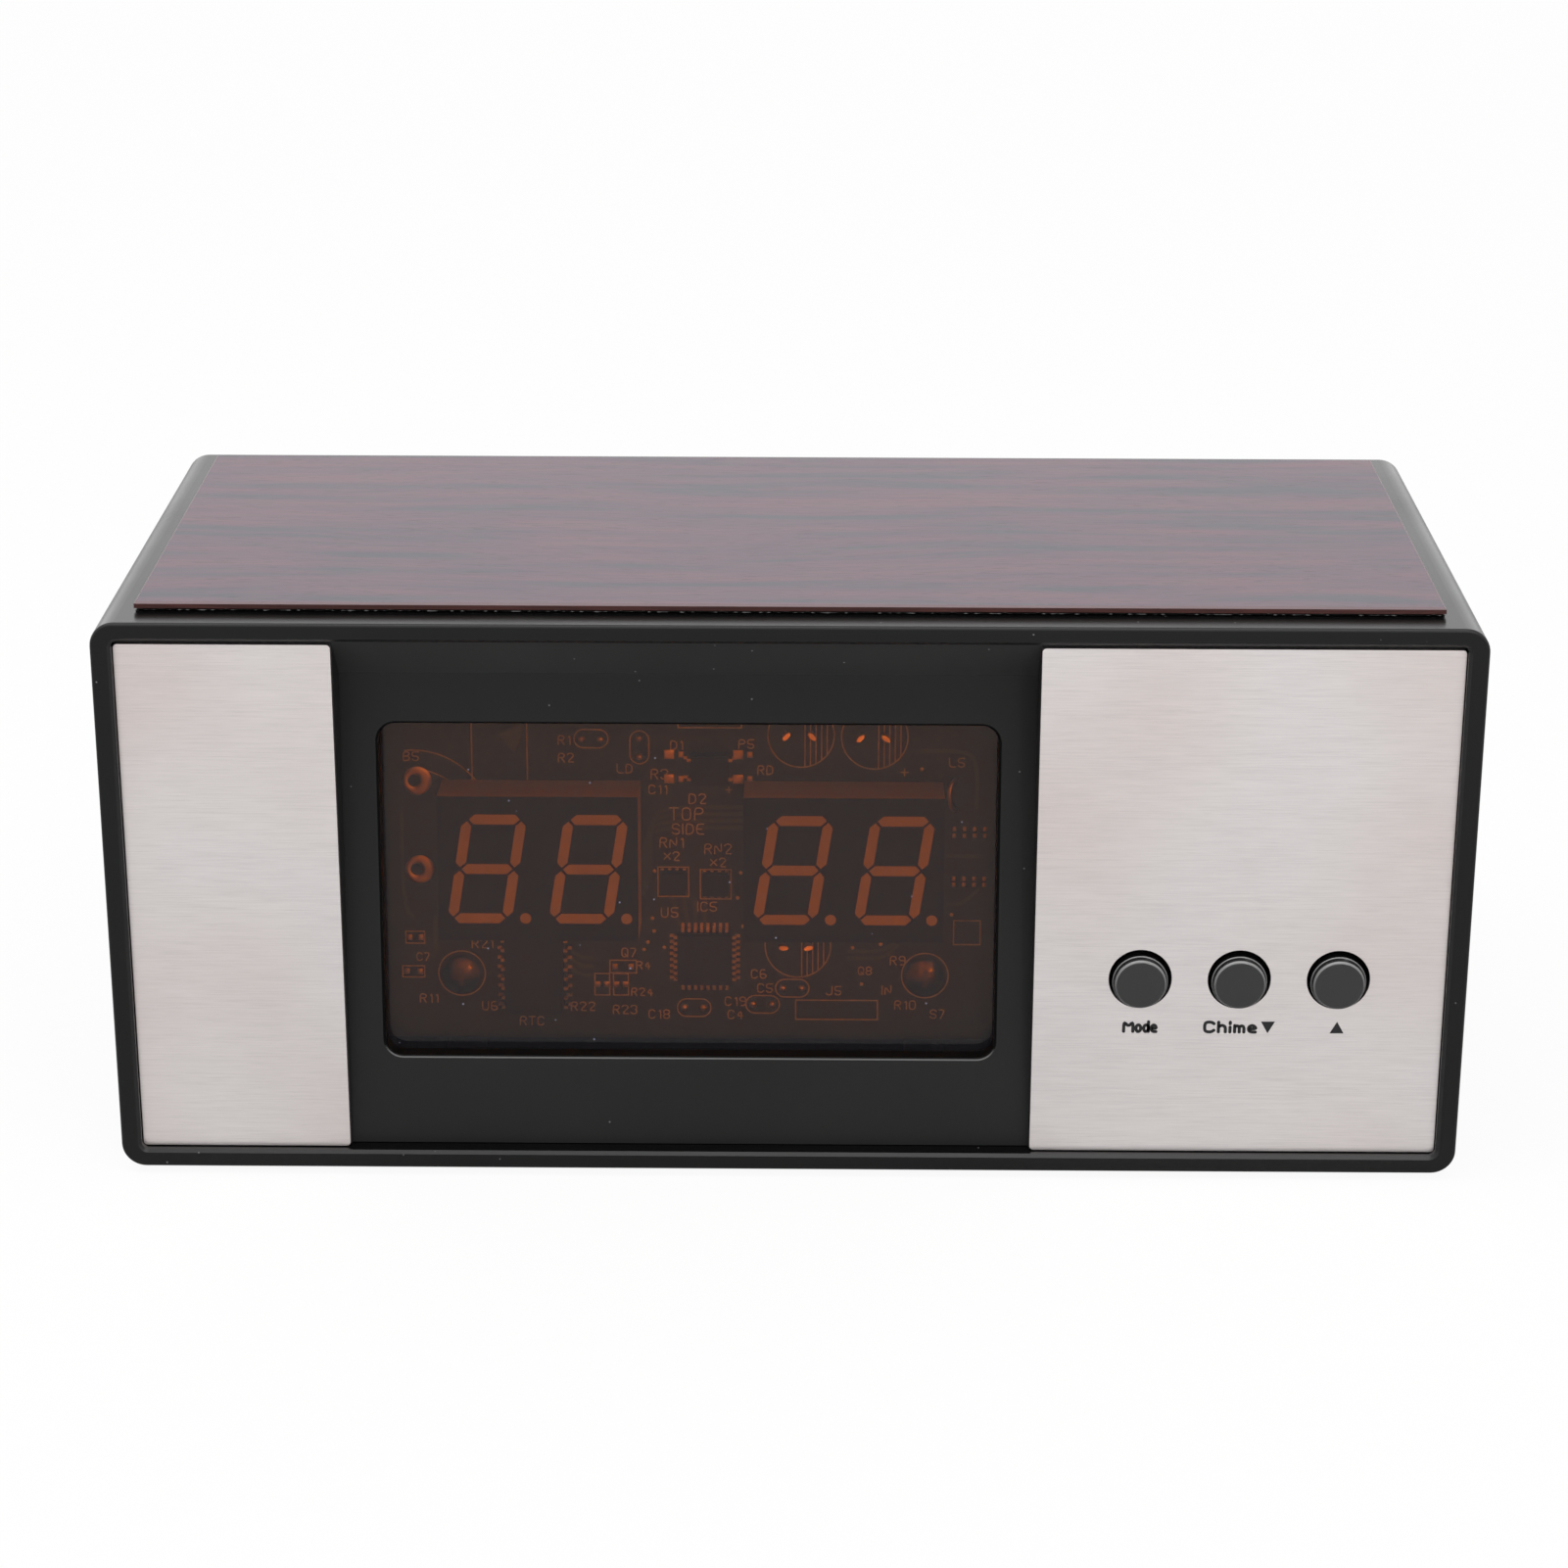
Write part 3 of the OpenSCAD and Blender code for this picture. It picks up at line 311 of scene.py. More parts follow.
def rosewood_veneer():
    """Rosewood veneer under satin lacquer: wavy dark streaks and fine fibres along X, with short pores.

    A slow noise bends the lines across the grain, a stretched noise gives the streaks, and two finer
    ones the fibres and the pores. Steep faces show the cut edge of the board, and a painted highlight
    makes its bevelled arris pale.
    """
    sizes, colours = settings()
    made, shader, place = material("rosewood_veneer_lacquered", Specular_Ior_Level=0.3)
    sway = noise(place, (1 / 70, 1 / 26, 1 / 26), 1.0)
    shift = times(sway.outputs["Color"], (0.0, 11.0, 11.0))
    bent = add(shader, "VectorMath", {0: place, 1: shift}, operation="ADD")
    along, across, fine = MM / sizes.grain_length, MM / sizes.grain_width, MM / sizes.fibre_width
    streak = noise(bent, (along, across, across), 5.0, 0.6)
    tone = tones(streak, (0.36, colours.wood_dark), (0.5, colours.wood_brown), (0.66, colours.wood_red))
    fibre = noise(bent, (fine / 45, fine, fine))
    depth = span(fibre, 0.25, 0.75, 0.62, 1.3)
    pore = span(noise(bent, (0.32, 4.2, 4.2), 0.0), 0.27, 0.35, 0.55)
    wood = times(times(tone, depth), pore)
    way = facing(shader)
    level = add(shader, "Math", {0: way["Z"], 1: 0.5}, operation="GREATER_THAN")
    board = blend(level, times(depth, colours.wood_edge), wood)
    # Painted highlight: the bevel between the top and the edge turns pale
    arris_highlight = band(way["Z"], 0.3, 0.5, 0.9, 0.97)
    link(blend(arris_highlight, board, opaque("#7f6c70")), shader, "Base Color")
    link(span(fibre, 0.25, 0.75, 0.33, 0.42), shader, "Roughness")
    emboss(shader, fibre, 0.2, 0.02)
    return made


def brushed_steel():
    """Stainless steel brushed along X: fine scratches of uneven tone give a soft streaked shine.

    They are drawn coarser than real ones, so that they show.
    """
    sizes, colours = settings()
    made, shader, place = material("stainless_steel_brushed", Metallic=1.0)
    fine = MM / sizes.brush_line
    scratch = noise(place, (MM / sizes.brush_length, fine, fine), 3.0, 0.7)
    dark, bright = shade(colours.steel, 0.88), shade(colours.steel, 1.08)
    tone = tones(scratch, (0.25, dark), (0.5, colours.steel), (0.75, bright))
    stain = tones(noise(place, 1 / 34, 1.0), (0.32, linear("#faf5f3")), (0.6, WHITE))
    link(times(tone, stain), shader, "Base Color")
    link(span(scratch, 0.25, 0.75, 0.3, 0.46), shader, "Roughness")
    emboss(shader, scratch, 0.12, 0.02)
    return made


def plain_metal(name, code, roughness, spot):
    """Plated or drawn metal: a bright mirror softened by handling, with patches of duller plating."""
    made, shader, place = material(name, Metallic=1.0)
    patch = noise(place, 1 / spot, 3.0)
    paint(shader, patch, (0.3, shade(linear(code), 0.72)), (0.7, linear(code)))
    link(span(patch, 0.3, 0.7, roughness + 0.12, roughness), shader, "Roughness")
    return made


def amber_acrylic():
    """Cast acrylic dyed amber: a clear pane with sharp reflections, a faint ripple, and orange light behind.

    A film of dust greys its outer face, and coarser specks lie on it.
    """
    _, colours = settings()
    made, shader, place = material(
        "acrylic_cast_amber", Ior=1.3, Transmission_Weight=1.0, Roughness=0.0, Sheen_Roughness=1.0
    )
    shader.inputs["Base Color"].default_value = (*colours.window_amber, 1.0)
    shader.inputs["Sheen Tint"].default_value = opaque("#eee7ff")
    outer = span(behind(place, WINDOW_OUT), 0.0, 1.0, 1.0, 0.0)
    film = span(dust(place), 0.0, 1.0, 0.03)
    link(add(shader, "Math", {0: outer, 1: film}, operation="MULTIPLY"), shader, "Sheen Weight")
    emboss(shader, noise(place, 1 / 12, 0.0), 0.15, 0.02)
    half = tuple(math.sqrt(channel) for channel in colours.window_amber)
    clear = add(shader, "BsdfTransparent", {"Color": (*half, 1.0)})
    overlay(add(shader, "LightPath").outputs["Is Shadow Ray"], shader, clear)
    return made


def lean_of(node, thickness):
    """A leaning slab's angle and height from its box.

    The box is height*sin + thickness*cos deep and height*cos + thickness*sin high. Solving the two by
    turns settles within a few rounds for a lean of a few degrees.
    """
    (_, front, low), (_, back, high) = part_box(node)
    angle = 0.0
    for _ in range(8):
        height = (high - low - thickness * math.sin(angle)) / math.cos(angle)
        angle = math.asin((back - front - thickness * math.cos(angle)) / height)
    return angle, height


LEAN, BOARD_H = lean_of("main_board", BOARD_T)
BOARD_LOW, BOARD_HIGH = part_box("main_board")
BOARD_FOOT = Vector(
    ((BOARD_LOW.x + BOARD_HIGH.x) / 2, BOARD_LOW.y, BOARD_HIGH.z - BOARD_H * math.cos(LEAN))
)


def behind(place, out):
    """A node that is 1 where a place is behind a plane that far in front of the board, and 0 before it."""
    ahead = (0.0, math.cos(LEAN), -math.sin(LEAN))
    depth = add(place, "VectorMath", {0: place, 1: ahead}, operation="DOT_PRODUCT")
    board = BOARD_FOOT.dot(Vector(ahead)) / MM
    return add(place, "Math", {0: depth.outputs["Value"], 1: board - out}, operation="GREATER_THAN")


def on_board(places):
    """Points of the frame from places across the board's middle, up from its foot and out of its face."""
    across, up, out = np.moveaxis(np.asarray(places, float), -1, 0) * MM
    sin, cos = math.sin(LEAN), math.cos(LEAN)
    return np.stack(
        (BOARD_FOOT.x + across, BOARD_FOOT.y + up * sin - out * cos, BOARD_FOOT.z + up * cos + out * sin), -1
    )


def swept(path, side, up, profile, scale=1.0, closed=False):
    """A profile carried along a path: path + scale * (profile x * side + profile y * up), with capped ends.

    Where side x up is the path's direction and the profile runs anticlockwise, the faces point outwards.
    """
    path, side, up = (np.asarray(a, float) for a in np.broadcast_arrays(path, side, up))
    profile = np.asarray(profile, float)
    reach = np.broadcast_to(np.asarray(scale, float), len(path))[:, None, None]
    points = path[:, None] + reach * (profile[:, :1] * side[:, None] + profile[:, 1:] * up[:, None])
    rows, columns = points.shape[:2]
    index = np.arange(rows * columns).reshape(rows, columns)
    ahead, beside = np.roll(index, -1, 0), np.roll(index, -1, 1)
    quads = np.stack((index, beside, np.roll(ahead, -1, 1), ahead), -1)
    quads = quads if closed else quads[:-1]
    faces = quads.reshape(-1, 4).tolist()
    if not closed:
        faces += [index[0, ::-1].tolist(), index[-1].tolist()]
    return points.reshape(-1, 3), faces


def ring(count, radius=1.0, start=0.0, turn=2 * math.pi):
    """Points round a circle: radius times cosine and sine of evenly spaced angles."""
    angles = start + turn * np.arange(count) / count
    return radius * np.stack((np.cos(angles), np.sin(angles)), -1)


def inked_line(points, width, ink, closed=False):
    """A printed line: a flat rectangle carried along a path in the board's plane, mitred at the corners.

    An open line ends in half rounds: past each end the rectangle shrinks by the cosine of a turn whose
    sine says how far it has gone.
    """
    points = np.asarray(points, float)
    half = width / 2
    strokes = np.roll(points, -1, 0) - points
    if not closed:
        strokes[-1] = strokes[-2]
    strokes /= np.linalg.norm(strokes, axis=1, keepdims=True)
    before = np.roll(strokes, 1, 0)
    if not closed:
        before[0] = strokes[0]
    middle = strokes + before
    middle /= np.linalg.norm(middle, axis=1, keepdims=True)
    sharpest = 0.4
    lengthened = np.maximum(sharpest, np.sum(middle * strokes, 1))[:, None]
    side = np.stack((-middle[:, 1], middle[:, 0]), -1) / lengthened
    size = np.ones(len(points))
    if not closed:
        steps = 5
        turn = np.linspace(0.47, 0.1, steps)[:, None] * math.pi
        past = half * np.sin(turn)
        points = np.concatenate((points[:1] - past * strokes[0], points, points[-1:] + past[::-1] * strokes[-1]))
        side = np.concatenate((np.repeat(side[:1], steps, 0), side, np.repeat(side[-1:], steps, 0)))
        size = np.concatenate((np.cos(turn[:, 0]), size, np.cos(turn[::-1, 0])))
    flat = np.zeros((len(points), 1))
    profile = ((-half, 0), (half, 0), (half, ink), (-half, ink))
    return swept(np.hstack((points, flat)), np.hstack((side, flat)), OUT, profile, size, closed)


def eased(points):
    """Corner cutting, twice: each corner gives way to points a quarter in on both sides, and the ends stay."""
    for _ in range(2):
        here, there = points[:-1], points[1:]
        cut = np.stack((0.75 * here + 0.25 * there, 0.25 * here + 0.75 * there), 1).reshape(-1, 2)
        points = np.concatenate((points[:1], cut, points[-1:]))
    return points


def lettering(words, height, line, ink, width=None):
    """Words drawn with one round stroke, as parts centred on their place.

    Each letter's strokes are points of a grid. The grid is scaled to the height and, if one is
    given, to the word's width, and the corners are eased.
    """
    strokes, at = [], 0.0
    for letter in words:
        drawn = [np.array([int(step) for step in code], float).reshape(-1, 2) for code in GLYPHS[letter].split()]
        strokes += [points + (at, 0.0) for points in drawn]
        at += max(points[:, 0].max() for points in drawn) + GLYPH_GAP
    wide = at - GLYPH_GAP
    unit = (height - line) / GLYPH_RISE
    stretch = (width - line) / wide if width else unit
    middle = (wide / 2, GLYPH_RISE / 2)
    return [inked_line((eased(points) - middle) * (stretch, unit), line, ink) for points in strokes]


def mound(across, up, outline, rise):
    """A soft lump of solder: an outline carried outwards while it shrinks by the cosine of a quarter turn."""
    rows = 5
    turn = np.linspace(0, 0.46 * math.pi, rows)
    path = np.column_stack((np.full(rows, across), np.full(rows, up), rise * np.sin(turn)))
    return swept(path, ACROSS, UP, outline, np.cos(turn))


def wire(points, radius):
    """A round wire: a circle carried along a path, its side and up turned square to each stretch."""
    points = np.asarray(points, float)
    ahead = np.gradient(points, axis=0)
    ahead /= np.linalg.norm(ahead, axis=1, keepdims=True)
    elsewhere = (0.31, 0.27, 0.91)  # A way in which no wire here runs
    side = np.cross(elsewhere, ahead)
    side /= np.linalg.norm(side, axis=1, keepdims=True)
    return swept(points, side, np.cross(ahead, side), ring(10, radius))


def surface(name, points, faces, made):
    """One object in the scene from points, faces and a material."""
    mesh = bpy.data.meshes.new(name)
    mesh.from_pydata(points.tolist(), [], faces)
    mesh.materials.append(made)
    made_object = bpy.data.objects.new(name, mesh)
    bpy.context.scene.collection.objects.link(made_object)
    return made_object


def piece(name, parts, made):
    """One object from parts, each an array of points in the frame and its faces, riding on the case."""
    starts = np.cumsum([0] + [len(points) for points, _ in parts])
    faces = [[corner + start for corner in face] for (_, part), start in zip(parts, starts) for face in part]
    made_object = surface(name, np.concatenate([points for points, _ in parts]), faces, made)
    made_object.data.polygons.foreach_set("use_smooth", np.ones(len(faces), bool))
    made_object.data.set_sharp_from_angle(angle=CRISP)
    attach(made_object, BODY)


def board_piece(name, parts, made):
    """One object from parts whose points are places on the board."""
    piece(name, [(on_board(points), faces) for points, faces in parts], made)


class CLOCK_OT_stage(bpy.types.Operator):
    """Sets the white floor, the studio light and the photograph's camera."""

    bl_idname = "clock.stage"
    bl_label = "Stage"

    def execute(self, context):
        scene = context.scene
        scene.view_settings.view_transform = "Standard"
        self.floor()
        self.light(scene)
        self.camera(scene)
        return {"FINISHED"}

    def floor(self):
        """A square grid of points at table height. Most of its white is its own, so a shadow on it is faint."""
        # Matt paper: white without a highlight, with a barely visible fibre
        made, shader, place = material("paper_sweep_white", Roughness=0.9, Specular_Ior_Level=0.1)
        paint(shader, noise(place, 1 / 3), (0.3, linear("#fafafa")), (0.7, WHITE))
        seen, own = add(shader, "LightPath").outputs["Is Camera Ray"], 0.93
        share = add(shader, "Math", {0: seen, 1: own}, operation="MULTIPLY")
        overlay(share, shader, add(shader, "Emission", {"Strength": 1.0}))
        reach, count, drop = 3.0, 9, 0.02 * MM
        across, along = np.meshgrid(np.linspace(-reach, reach, count), np.linspace(-reach, reach, count))
        points = np.stack((across, along, np.full_like(across, -drop)), -1).reshape(-1, 3)
        index = np.arange(count * count).reshape(count, count)
        quads = np.stack((index[:-1, :-1], index[:-1, 1:], index[1:, 1:], index[1:, :-1]), -1).reshape(-1, 4)
        floor = surface("floor", points, quads.tolist(), made)

    def light(self, scene):
        """A pale room, white to the eye and in reflections, and four soft boxes.

        They hang above, in front and behind, and the small one makes the cut leads glint.
        """
        world = bpy.data.worlds.new("studio")
        world.use_nodes = True
        scene.world = world
        back = world.node_tree.nodes["Background"]
        back.inputs["Color"].default_value = (*WHITE, 1.0)
        ray = add(back, "LightPath").outputs
        shiny = {0: ray["Is Glossy Ray"], 1: ray["Is Transmission Ray"]}
        seen = {0: ray["Is Camera Ray"], 1: add(back, "Math", shiny, operation="MAXIMUM")}
        plain = add(back, "Math", seen, operation="MAXIMUM")
        link(span(plain, 0.0, 1.0, scene.clock_stage.ambient), back, "Strength")
        target = Vector((0.0, 0.0, 0.03))
        boxes = (
            ("top_box", (-0.1, -0.3, 0.95), (1.3, 0.35), 5.2),
            ("front_box", (0.1, -1.5, 0.42), (1.2, 1.2), 5.3),
            ("small_box", (0.5, -1.3, 0.42), (0.14, 0.14), 1.2),
            ("back_box", (0.0, 1.3, 0.5), (1.5, 1.5), 4.8),
        )
        for name, place, (wide, high), watts in boxes:
            lamp = bpy.data.lights.new(name, "AREA")
            lamp.shape, lamp.size, lamp.size_y, lamp.energy = "RECTANGLE", wide, high, watts
            box = bpy.data.objects.new(name, lamp)
            box.location = place
            box.rotation_euler = (target - box.location).to_track_quat("-Z", "Y").to_euler()
            scene.collection.objects.link(box)

    def camera(self, scene):
        """A camera tipped by the roll, looking down by the pitch and turned right by the yaw."""
        stage = scene.clock_stage
        turns = ((-stage.yaw, "Z"), (math.pi / 2 - stage.pitch, "X"), (stage.roll, "Z"))
        yaw, pitch, roll = (Matrix.Rotation(turn, 4, axis) for turn, axis in turns)
        data = bpy.data.cameras.new("photo_camera")
        data.sensor_width = 36.0
        data.lens = stage.lens
        data.clip_start = 0.01
        camera = bpy.data.objects.new("photo_camera", data)
        camera.matrix_world = Matrix.Translation(stage.place) @ yaw @ pitch @ roll
        scene.collection.objects.link(camera)
        scene.camera = camera


class CLOCK_OT_case(bpy.types.Operator):
    """Finishes the case, the front panel, the rear cover and the feet."""

    bl_idname = "clock.case"
    bl_label = "Case"

    def execute(self, context):
        sizes, colours = settings()
        grain = sizes.mould_grain / MM
        # A satin case with dust and a painted highlight on its edges, a matt panel, a coarser cover and dull feet
        # 2c2c2c is the painted highlight tone on the case's edges
        case = moulded_plastic("abs_moulded_satin", colours.case_black, 0.24, 0.2, grain, True, linear("#2c2c2c"))
        dress(case, "case_shell")
        panel = moulded_plastic("abs_moulded_matt", colours.panel_black, 0.5, 0.1, grain, True)
        self.brow(panel)
        self.collar(panel)
        dress(panel, "front_panel")
        dress(moulded_plastic("abs_moulded_textured", colours.case_black, 0.55, 0.3, 2 * grain), "rear_cover")
        dress(moulded_plastic("rubber_moulded", linear("#1c1c1c"), 0.8, 0.25, 0.5), "rubber_feet")
        return {"FINISHED"}

    def brow(self, made):
        """Painted light: the faces of the brow that point down are made up to 1.7 times paler."""
        shader = made.node_tree.nodes["Principled BSDF"]
        tone = shader.inputs["Base Color"].links[0].from_socket
        # Painted light: faces that point down are made up to 1.7 times paler
        painted_light = span(facing(shader)["Z"], -0.6, -0.3, 1.7)
        link(times(tone, painted_light), shader, "Base Color")

    def collar(self, made):
        """Inside the window opening the plastic is glossier and painted near black, a painted shade for the
        recess.

        A painted highlight lightens the rim of the opening where it faces up.
        """
        nodes = made.node_tree.nodes
        place = nodes["Mapping"]
        upward = span(facing(place)["Z"], 0.3, 0.6)
        deep = behind(place, PANEL_OUT - RIM_HIGHLIGHT)
        rim_highlight = add(place, "Math", {0: upward, 1: deep}, operation="SUBTRACT", use_clamp=True)
        # Painted shade: near black inside the opening; painted highlight: #6a6a6a where its rim faces up
        tone = blend(rim_highlight, opaque("#040404"), opaque("#6a6a6a"))
        gloss = {"Base Color": tone, "Roughness": 0.3, "Specular IOR Level": 0.06}
        shaded_gloss = add(place, "BsdfPrincipled", gloss)
        overlay(behind(place, PANEL_OUT - SHADE_IN), nodes["Principled BSDF"], shaded_gloss)


class CLOCK_OT_wood_top(bpy.types.Operator):
    """Finishes the rosewood top and the pad that holds it."""

    bl_idname = "clock.wood_top"
    bl_label = "Wood top"

    def execute(self, context):
        dress(rosewood_veneer(), "wood_top")
        # Foam without a shine, and glue that set with a glossy skin
        dress(moulded_plastic("foam_tape_die_cut", linear("#0c0c0c"), 0.9, 0.2, 0.4), "wood_adhesive")
        glue = moulded_plastic("rubber_glue_set", linear("#0a0a0a"), 0.26, 0.4, 0.5)
        piece("glue_bead", [self.bead(context.scene.clock_sizes.glue_bulge)], glue)
        return {"FINISHED"}

    def bead(self, bulge):
        """Glue squeezed out round the pad: an oval as high as the pad, carried round its edge.

        The oval's reach is the bulge times 1 plus five sine waves along the edge, so it swells and shrinks.
        """
        low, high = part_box("wood_adhesive")
        corners = np.array(((low.x, low.y), (high.x, low.y), (high.x, high.y), (low.x, high.y), (low.x, low.y)))
        walked = np.concatenate(([0.0], np.cumsum(np.linalg.norm(np.diff(corners, axis=0), axis=1))))
        count = 2400
        at = walked[-1] * np.arange(count) / count
        edge = np.stack([np.interp(at, walked, corners[:, axis]) for axis in (0, 1)], -1)
        ahead = np.roll(edge, -1, 0) - np.roll(edge, 1, 0)
        ahead /= np.linalg.norm(ahead, axis=1, keepdims=True)
        phase = 2 * math.pi * at / walked[-1]
        reach = bulge * (1 + sum(0.16 * np.sin(turns * phase + turns) for turns in (47, 131, 223, 337, 431)))
        side = np.column_stack((ahead[:, 1], -ahead[:, 0], np.zeros(count))) * reach[:, None]
        path = np.column_stack((edge, np.full(count, (low.z + high.z) / 2)))
        return swept(path, side, (0.0, 0.0, (high.z - low.z) / 2), ring(12), closed=True)


class CLOCK_OT_steel_plates(bpy.types.Operator):
    """Finishes the two brushed plates."""

    bl_idname = "clock.steel_plates"
    bl_label = "Steel plates"

    def execute(self, context):
        dress(brushed_steel(), "left_plate", "right_plate")
        return {"FINISHED"}


class CLOCK_OT_labels(bpy.types.Operator):
    """Prints a plain word or arrow under each button."""

    bl_idname = "clock.labels"
    bl_label = "Button labels"

    def execute(self, context):
        sizes, colours = settings()
        height, line, ink = sizes.label_height, sizes.label_line, sizes.label_ink
        # Button, mark, and how far the mark is to the right of the button's middle
        marks = (
            ("button_left", lettering("Mode", height, line, ink, 4.4 * MM), 0.18),
            ("button_middle", lettering("Chime", height, line, ink, 6.7 * MM), -0.86),
            ("button_middle", [self.arrow(-1, ink)], 3.79),
            ("button_right", [self.arrow(1, ink)], 0.14),
        )
        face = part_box("right_plate")[0].y
        parts = []
        for button, label, aside in marks:
            low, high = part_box(button)
            middle = (low + high) / 2
            place = (middle.x + aside * MM, face, middle.z - sizes.label_drop)
            # The ink's thickness, which is a label's third measure, goes to the front
            parts += [(points[:, (0, 2, 1)] * (1, -1, 1) + place, faces) for points, faces in label]
        # Screen ink on steel: a thin satin black, greyer where it is worn
        made, shader, place = material("screen_ink_black", Specular_Ior_Level=0.3)
        wear = noise(place, 1 / 0.4)
        paint(shader, wear, (0.3, colours.label_ink), (0.75, shade(colours.label_ink, 1.8)))
        link(span(wear, 0.0, 1.0, 0.4, 0.6), shader, "Roughness")
        piece("button_labels", parts, made)
        return {"FINISHED"}

    def arrow(self, way, ink):
        """A triangle 1.72 wide and 1.56 high, pointing up or down, carried outwards by the ink's thickness."""
        outline = np.array(((-0.86, -0.76), (0.86, -0.76), (0.0, 0.8))) * (way, way) * MM
        path = ((0.0, 0.0, 0.0), (0.0, 0.0, ink))
        return swept(path, ACROSS, UP, outline)


class CLOCK_OT_window(bpy.types.Operator):
    """Finishes the amber window."""

    bl_idname = "clock.window"
    bl_label = "Window"

    def execute(self, context):
        dress(amber_acrylic(), "window_lens")
        return {"FINISHED"}


class CLOCK_OT_displays(bpy.types.Operator):
    """Finishes the digit modules: pale cases with a painted face, and milky segments."""

    bl_idname = "clock.displays"
    bl_label = "Displays"

    def execute(self, context):
        # Polycarbonate with a painted face: cream sides round a dull black front
        made, shader, place = material(
            "polycarbonate_moulded_face_painted", Roughness=0.55, Specular_Ior_Level=0.2
        )
        sides = behind(place, DISPLAY_OUT - PAINT_IN)
        cloud = noise(place, 1 / 5)
        shell = tones(cloud, (0.3, linear("#ece6da")), (0.7, linear("#f8f2e6")))
        front = tones(cloud, (0.3, linear("#090909")), (0.7, linear("#0e0e0e")))
        link(blend(sides, front, shell), shader, "Base Color")
        dress(made, "display_left", "display_right")

        _, colours = settings()
        # Cast epoxy full of diffuser: milky, so the digits show unlit
        made, shader, place = material("epoxy_cast_diffusing", Roughness=0.35)
        cloud = noise(place, 1 / 1.5)
        paint(shader, cloud, (0.3, shade(colours.segment, 0.9)), (0.7, colours.segment))
        dress(made, "display_segments")
        return {"FINISHED"}


class CLOCK_OT_board(bpy.types.Operator):
    """Finishes the circuit boards, the chips and their leads."""

    bl_idname = "clock.board"
    bl_label = "Circuit boards"

    def execute(self, context):
        _, colours = settings()
        # Glass epoxy under solder mask: a satin green in which the weave just shows
        made, shader, place = material("glass_epoxy_solder_masked", Roughness=0.35, Specular_Ior_Level=0.25)
        weave = add(shader, "TexWave", {"Vector": place, "Scale": 0.55, "Distortion": 6.0, "Detail": 2.0},
                    bands_direction="DIAGONAL")
        paint(shader, weave, (0.35, colours.board_mask), (0.6, shade(colours.board_mask, 1.2)))
        dress(made, "main_board", "button_board")
        # Dull chips, leads that mirror softly, dark bright screws inside and dull ones at the back
        epoxy = moulded_plastic("epoxy_moulded_chip", linear("#1b1b1c"), 0.6, 0.3, 0.2)
        dress(epoxy, "microcontroller", "clock_chip", "bridge_rectifier", "resistor_arrays", "buzzer")
        dress(plain_metal("copper_lead_tinned", "#e4dfd6", 0.26, 0.8), "chip_leads")
        dress(plain_metal("steel_screw_zinc_plated", "#77777a", 0.12, 1.5),
              "board_screws", "bracket_screws", "button_board_screws", "front_panel_screws")
        dress(plain_metal("steel_screw_blackened", "#5a5a5c", 0.36, 0.7), "rear_cover_screws")
        return {"FINISHED"}


class CLOCK_OT_board_print(bpy.types.Operator):
    """Prints outlines and plain part letters on the board's front."""

    bl_idname = "clock.board_print"
    bl_label = "Board print"

    def execute(self, context):
        sizes, colours = settings()
        # Screen ink on the mask: matt white, thinner in spots
        made, shader, place = material("screen_ink_white", Roughness=0.7)
        wear = noise(place, 1 / 0.6)
        paint(shader, wear, (0.35, shade(colours.board_print, 0.7)), (0.65, colours.board_print))
        line, ink = sizes.print_line / MM, sizes.print_ink / MM
        paths = [(points, True) for points in self.outlines()] + [(points, False) for points in self.strokes()]
        flat = [inked_line(points, line, ink, closed) for points, closed in paths]
        for text, across, up, *share in LETTERS:
            drawn = lettering(text, math.prod(share) * sizes.print_height / MM, line, ink)
            flat += [(points + (across, up, 0.0), faces) for points, faces in drawn]
        board_piece("board_print", flat, made)

        # Etched copper under the mask: the board's green, paler where metal lies below
        made, shader, place = material("copper_etched_masked", Roughness=0.35)
        thin, thick = shade(colours.board_mask, 2.1), shade(colours.board_mask, 1.7)
        paint(shader, noise(place, 1 / 4), (0.3, thick), (0.7, thin))
        drawn = [inked_line(eased(np.array(path, float)), 3 * line, ink / 2) for path in TRACES]
        drawn.append(mound(*TAB, TAB_OUTLINE, 0.15))
        board_piece("board_traces", drawn, made)
        return {"FINISHED"}

    def outlines(self):
        """Closed outlines: rounds for drums and screws, long rounds for discs, and boxes for flat parts."""
        yield from (ring(40, DRUM_R) + place for place in DRUMS)
        yield from (ring(32, SCREW_R) + place for place in SCREWS)
        for across, up, tall in DISCS:
            end = ring(18, DISC_R, -math.pi / 2, math.pi) + (DISC_HALF, 0)
            round_box = np.concatenate((end, -end))
            yield (round_box[:, ::-1] * (-1, 1) if tall else round_box) + (across, up)
        for across, up, wide, high in BOXES:
            yield UNIT_BOX * (wide, high) + (across, up)

    def strokes(self):
        """Open lines: the hatched half of each drum and the arcs of the cell's outline."""
        for across, up in DRUMS:
            for step in HATCH:
                half = math.sqrt(DRUM_R**2 - step**2)
                yield np.array(((across + step, up - half), (across + step, up + half)))
        for radius in CELL_RADII:
            yield ring(24, radius, math.radians(38), math.radians(60)) + CELL


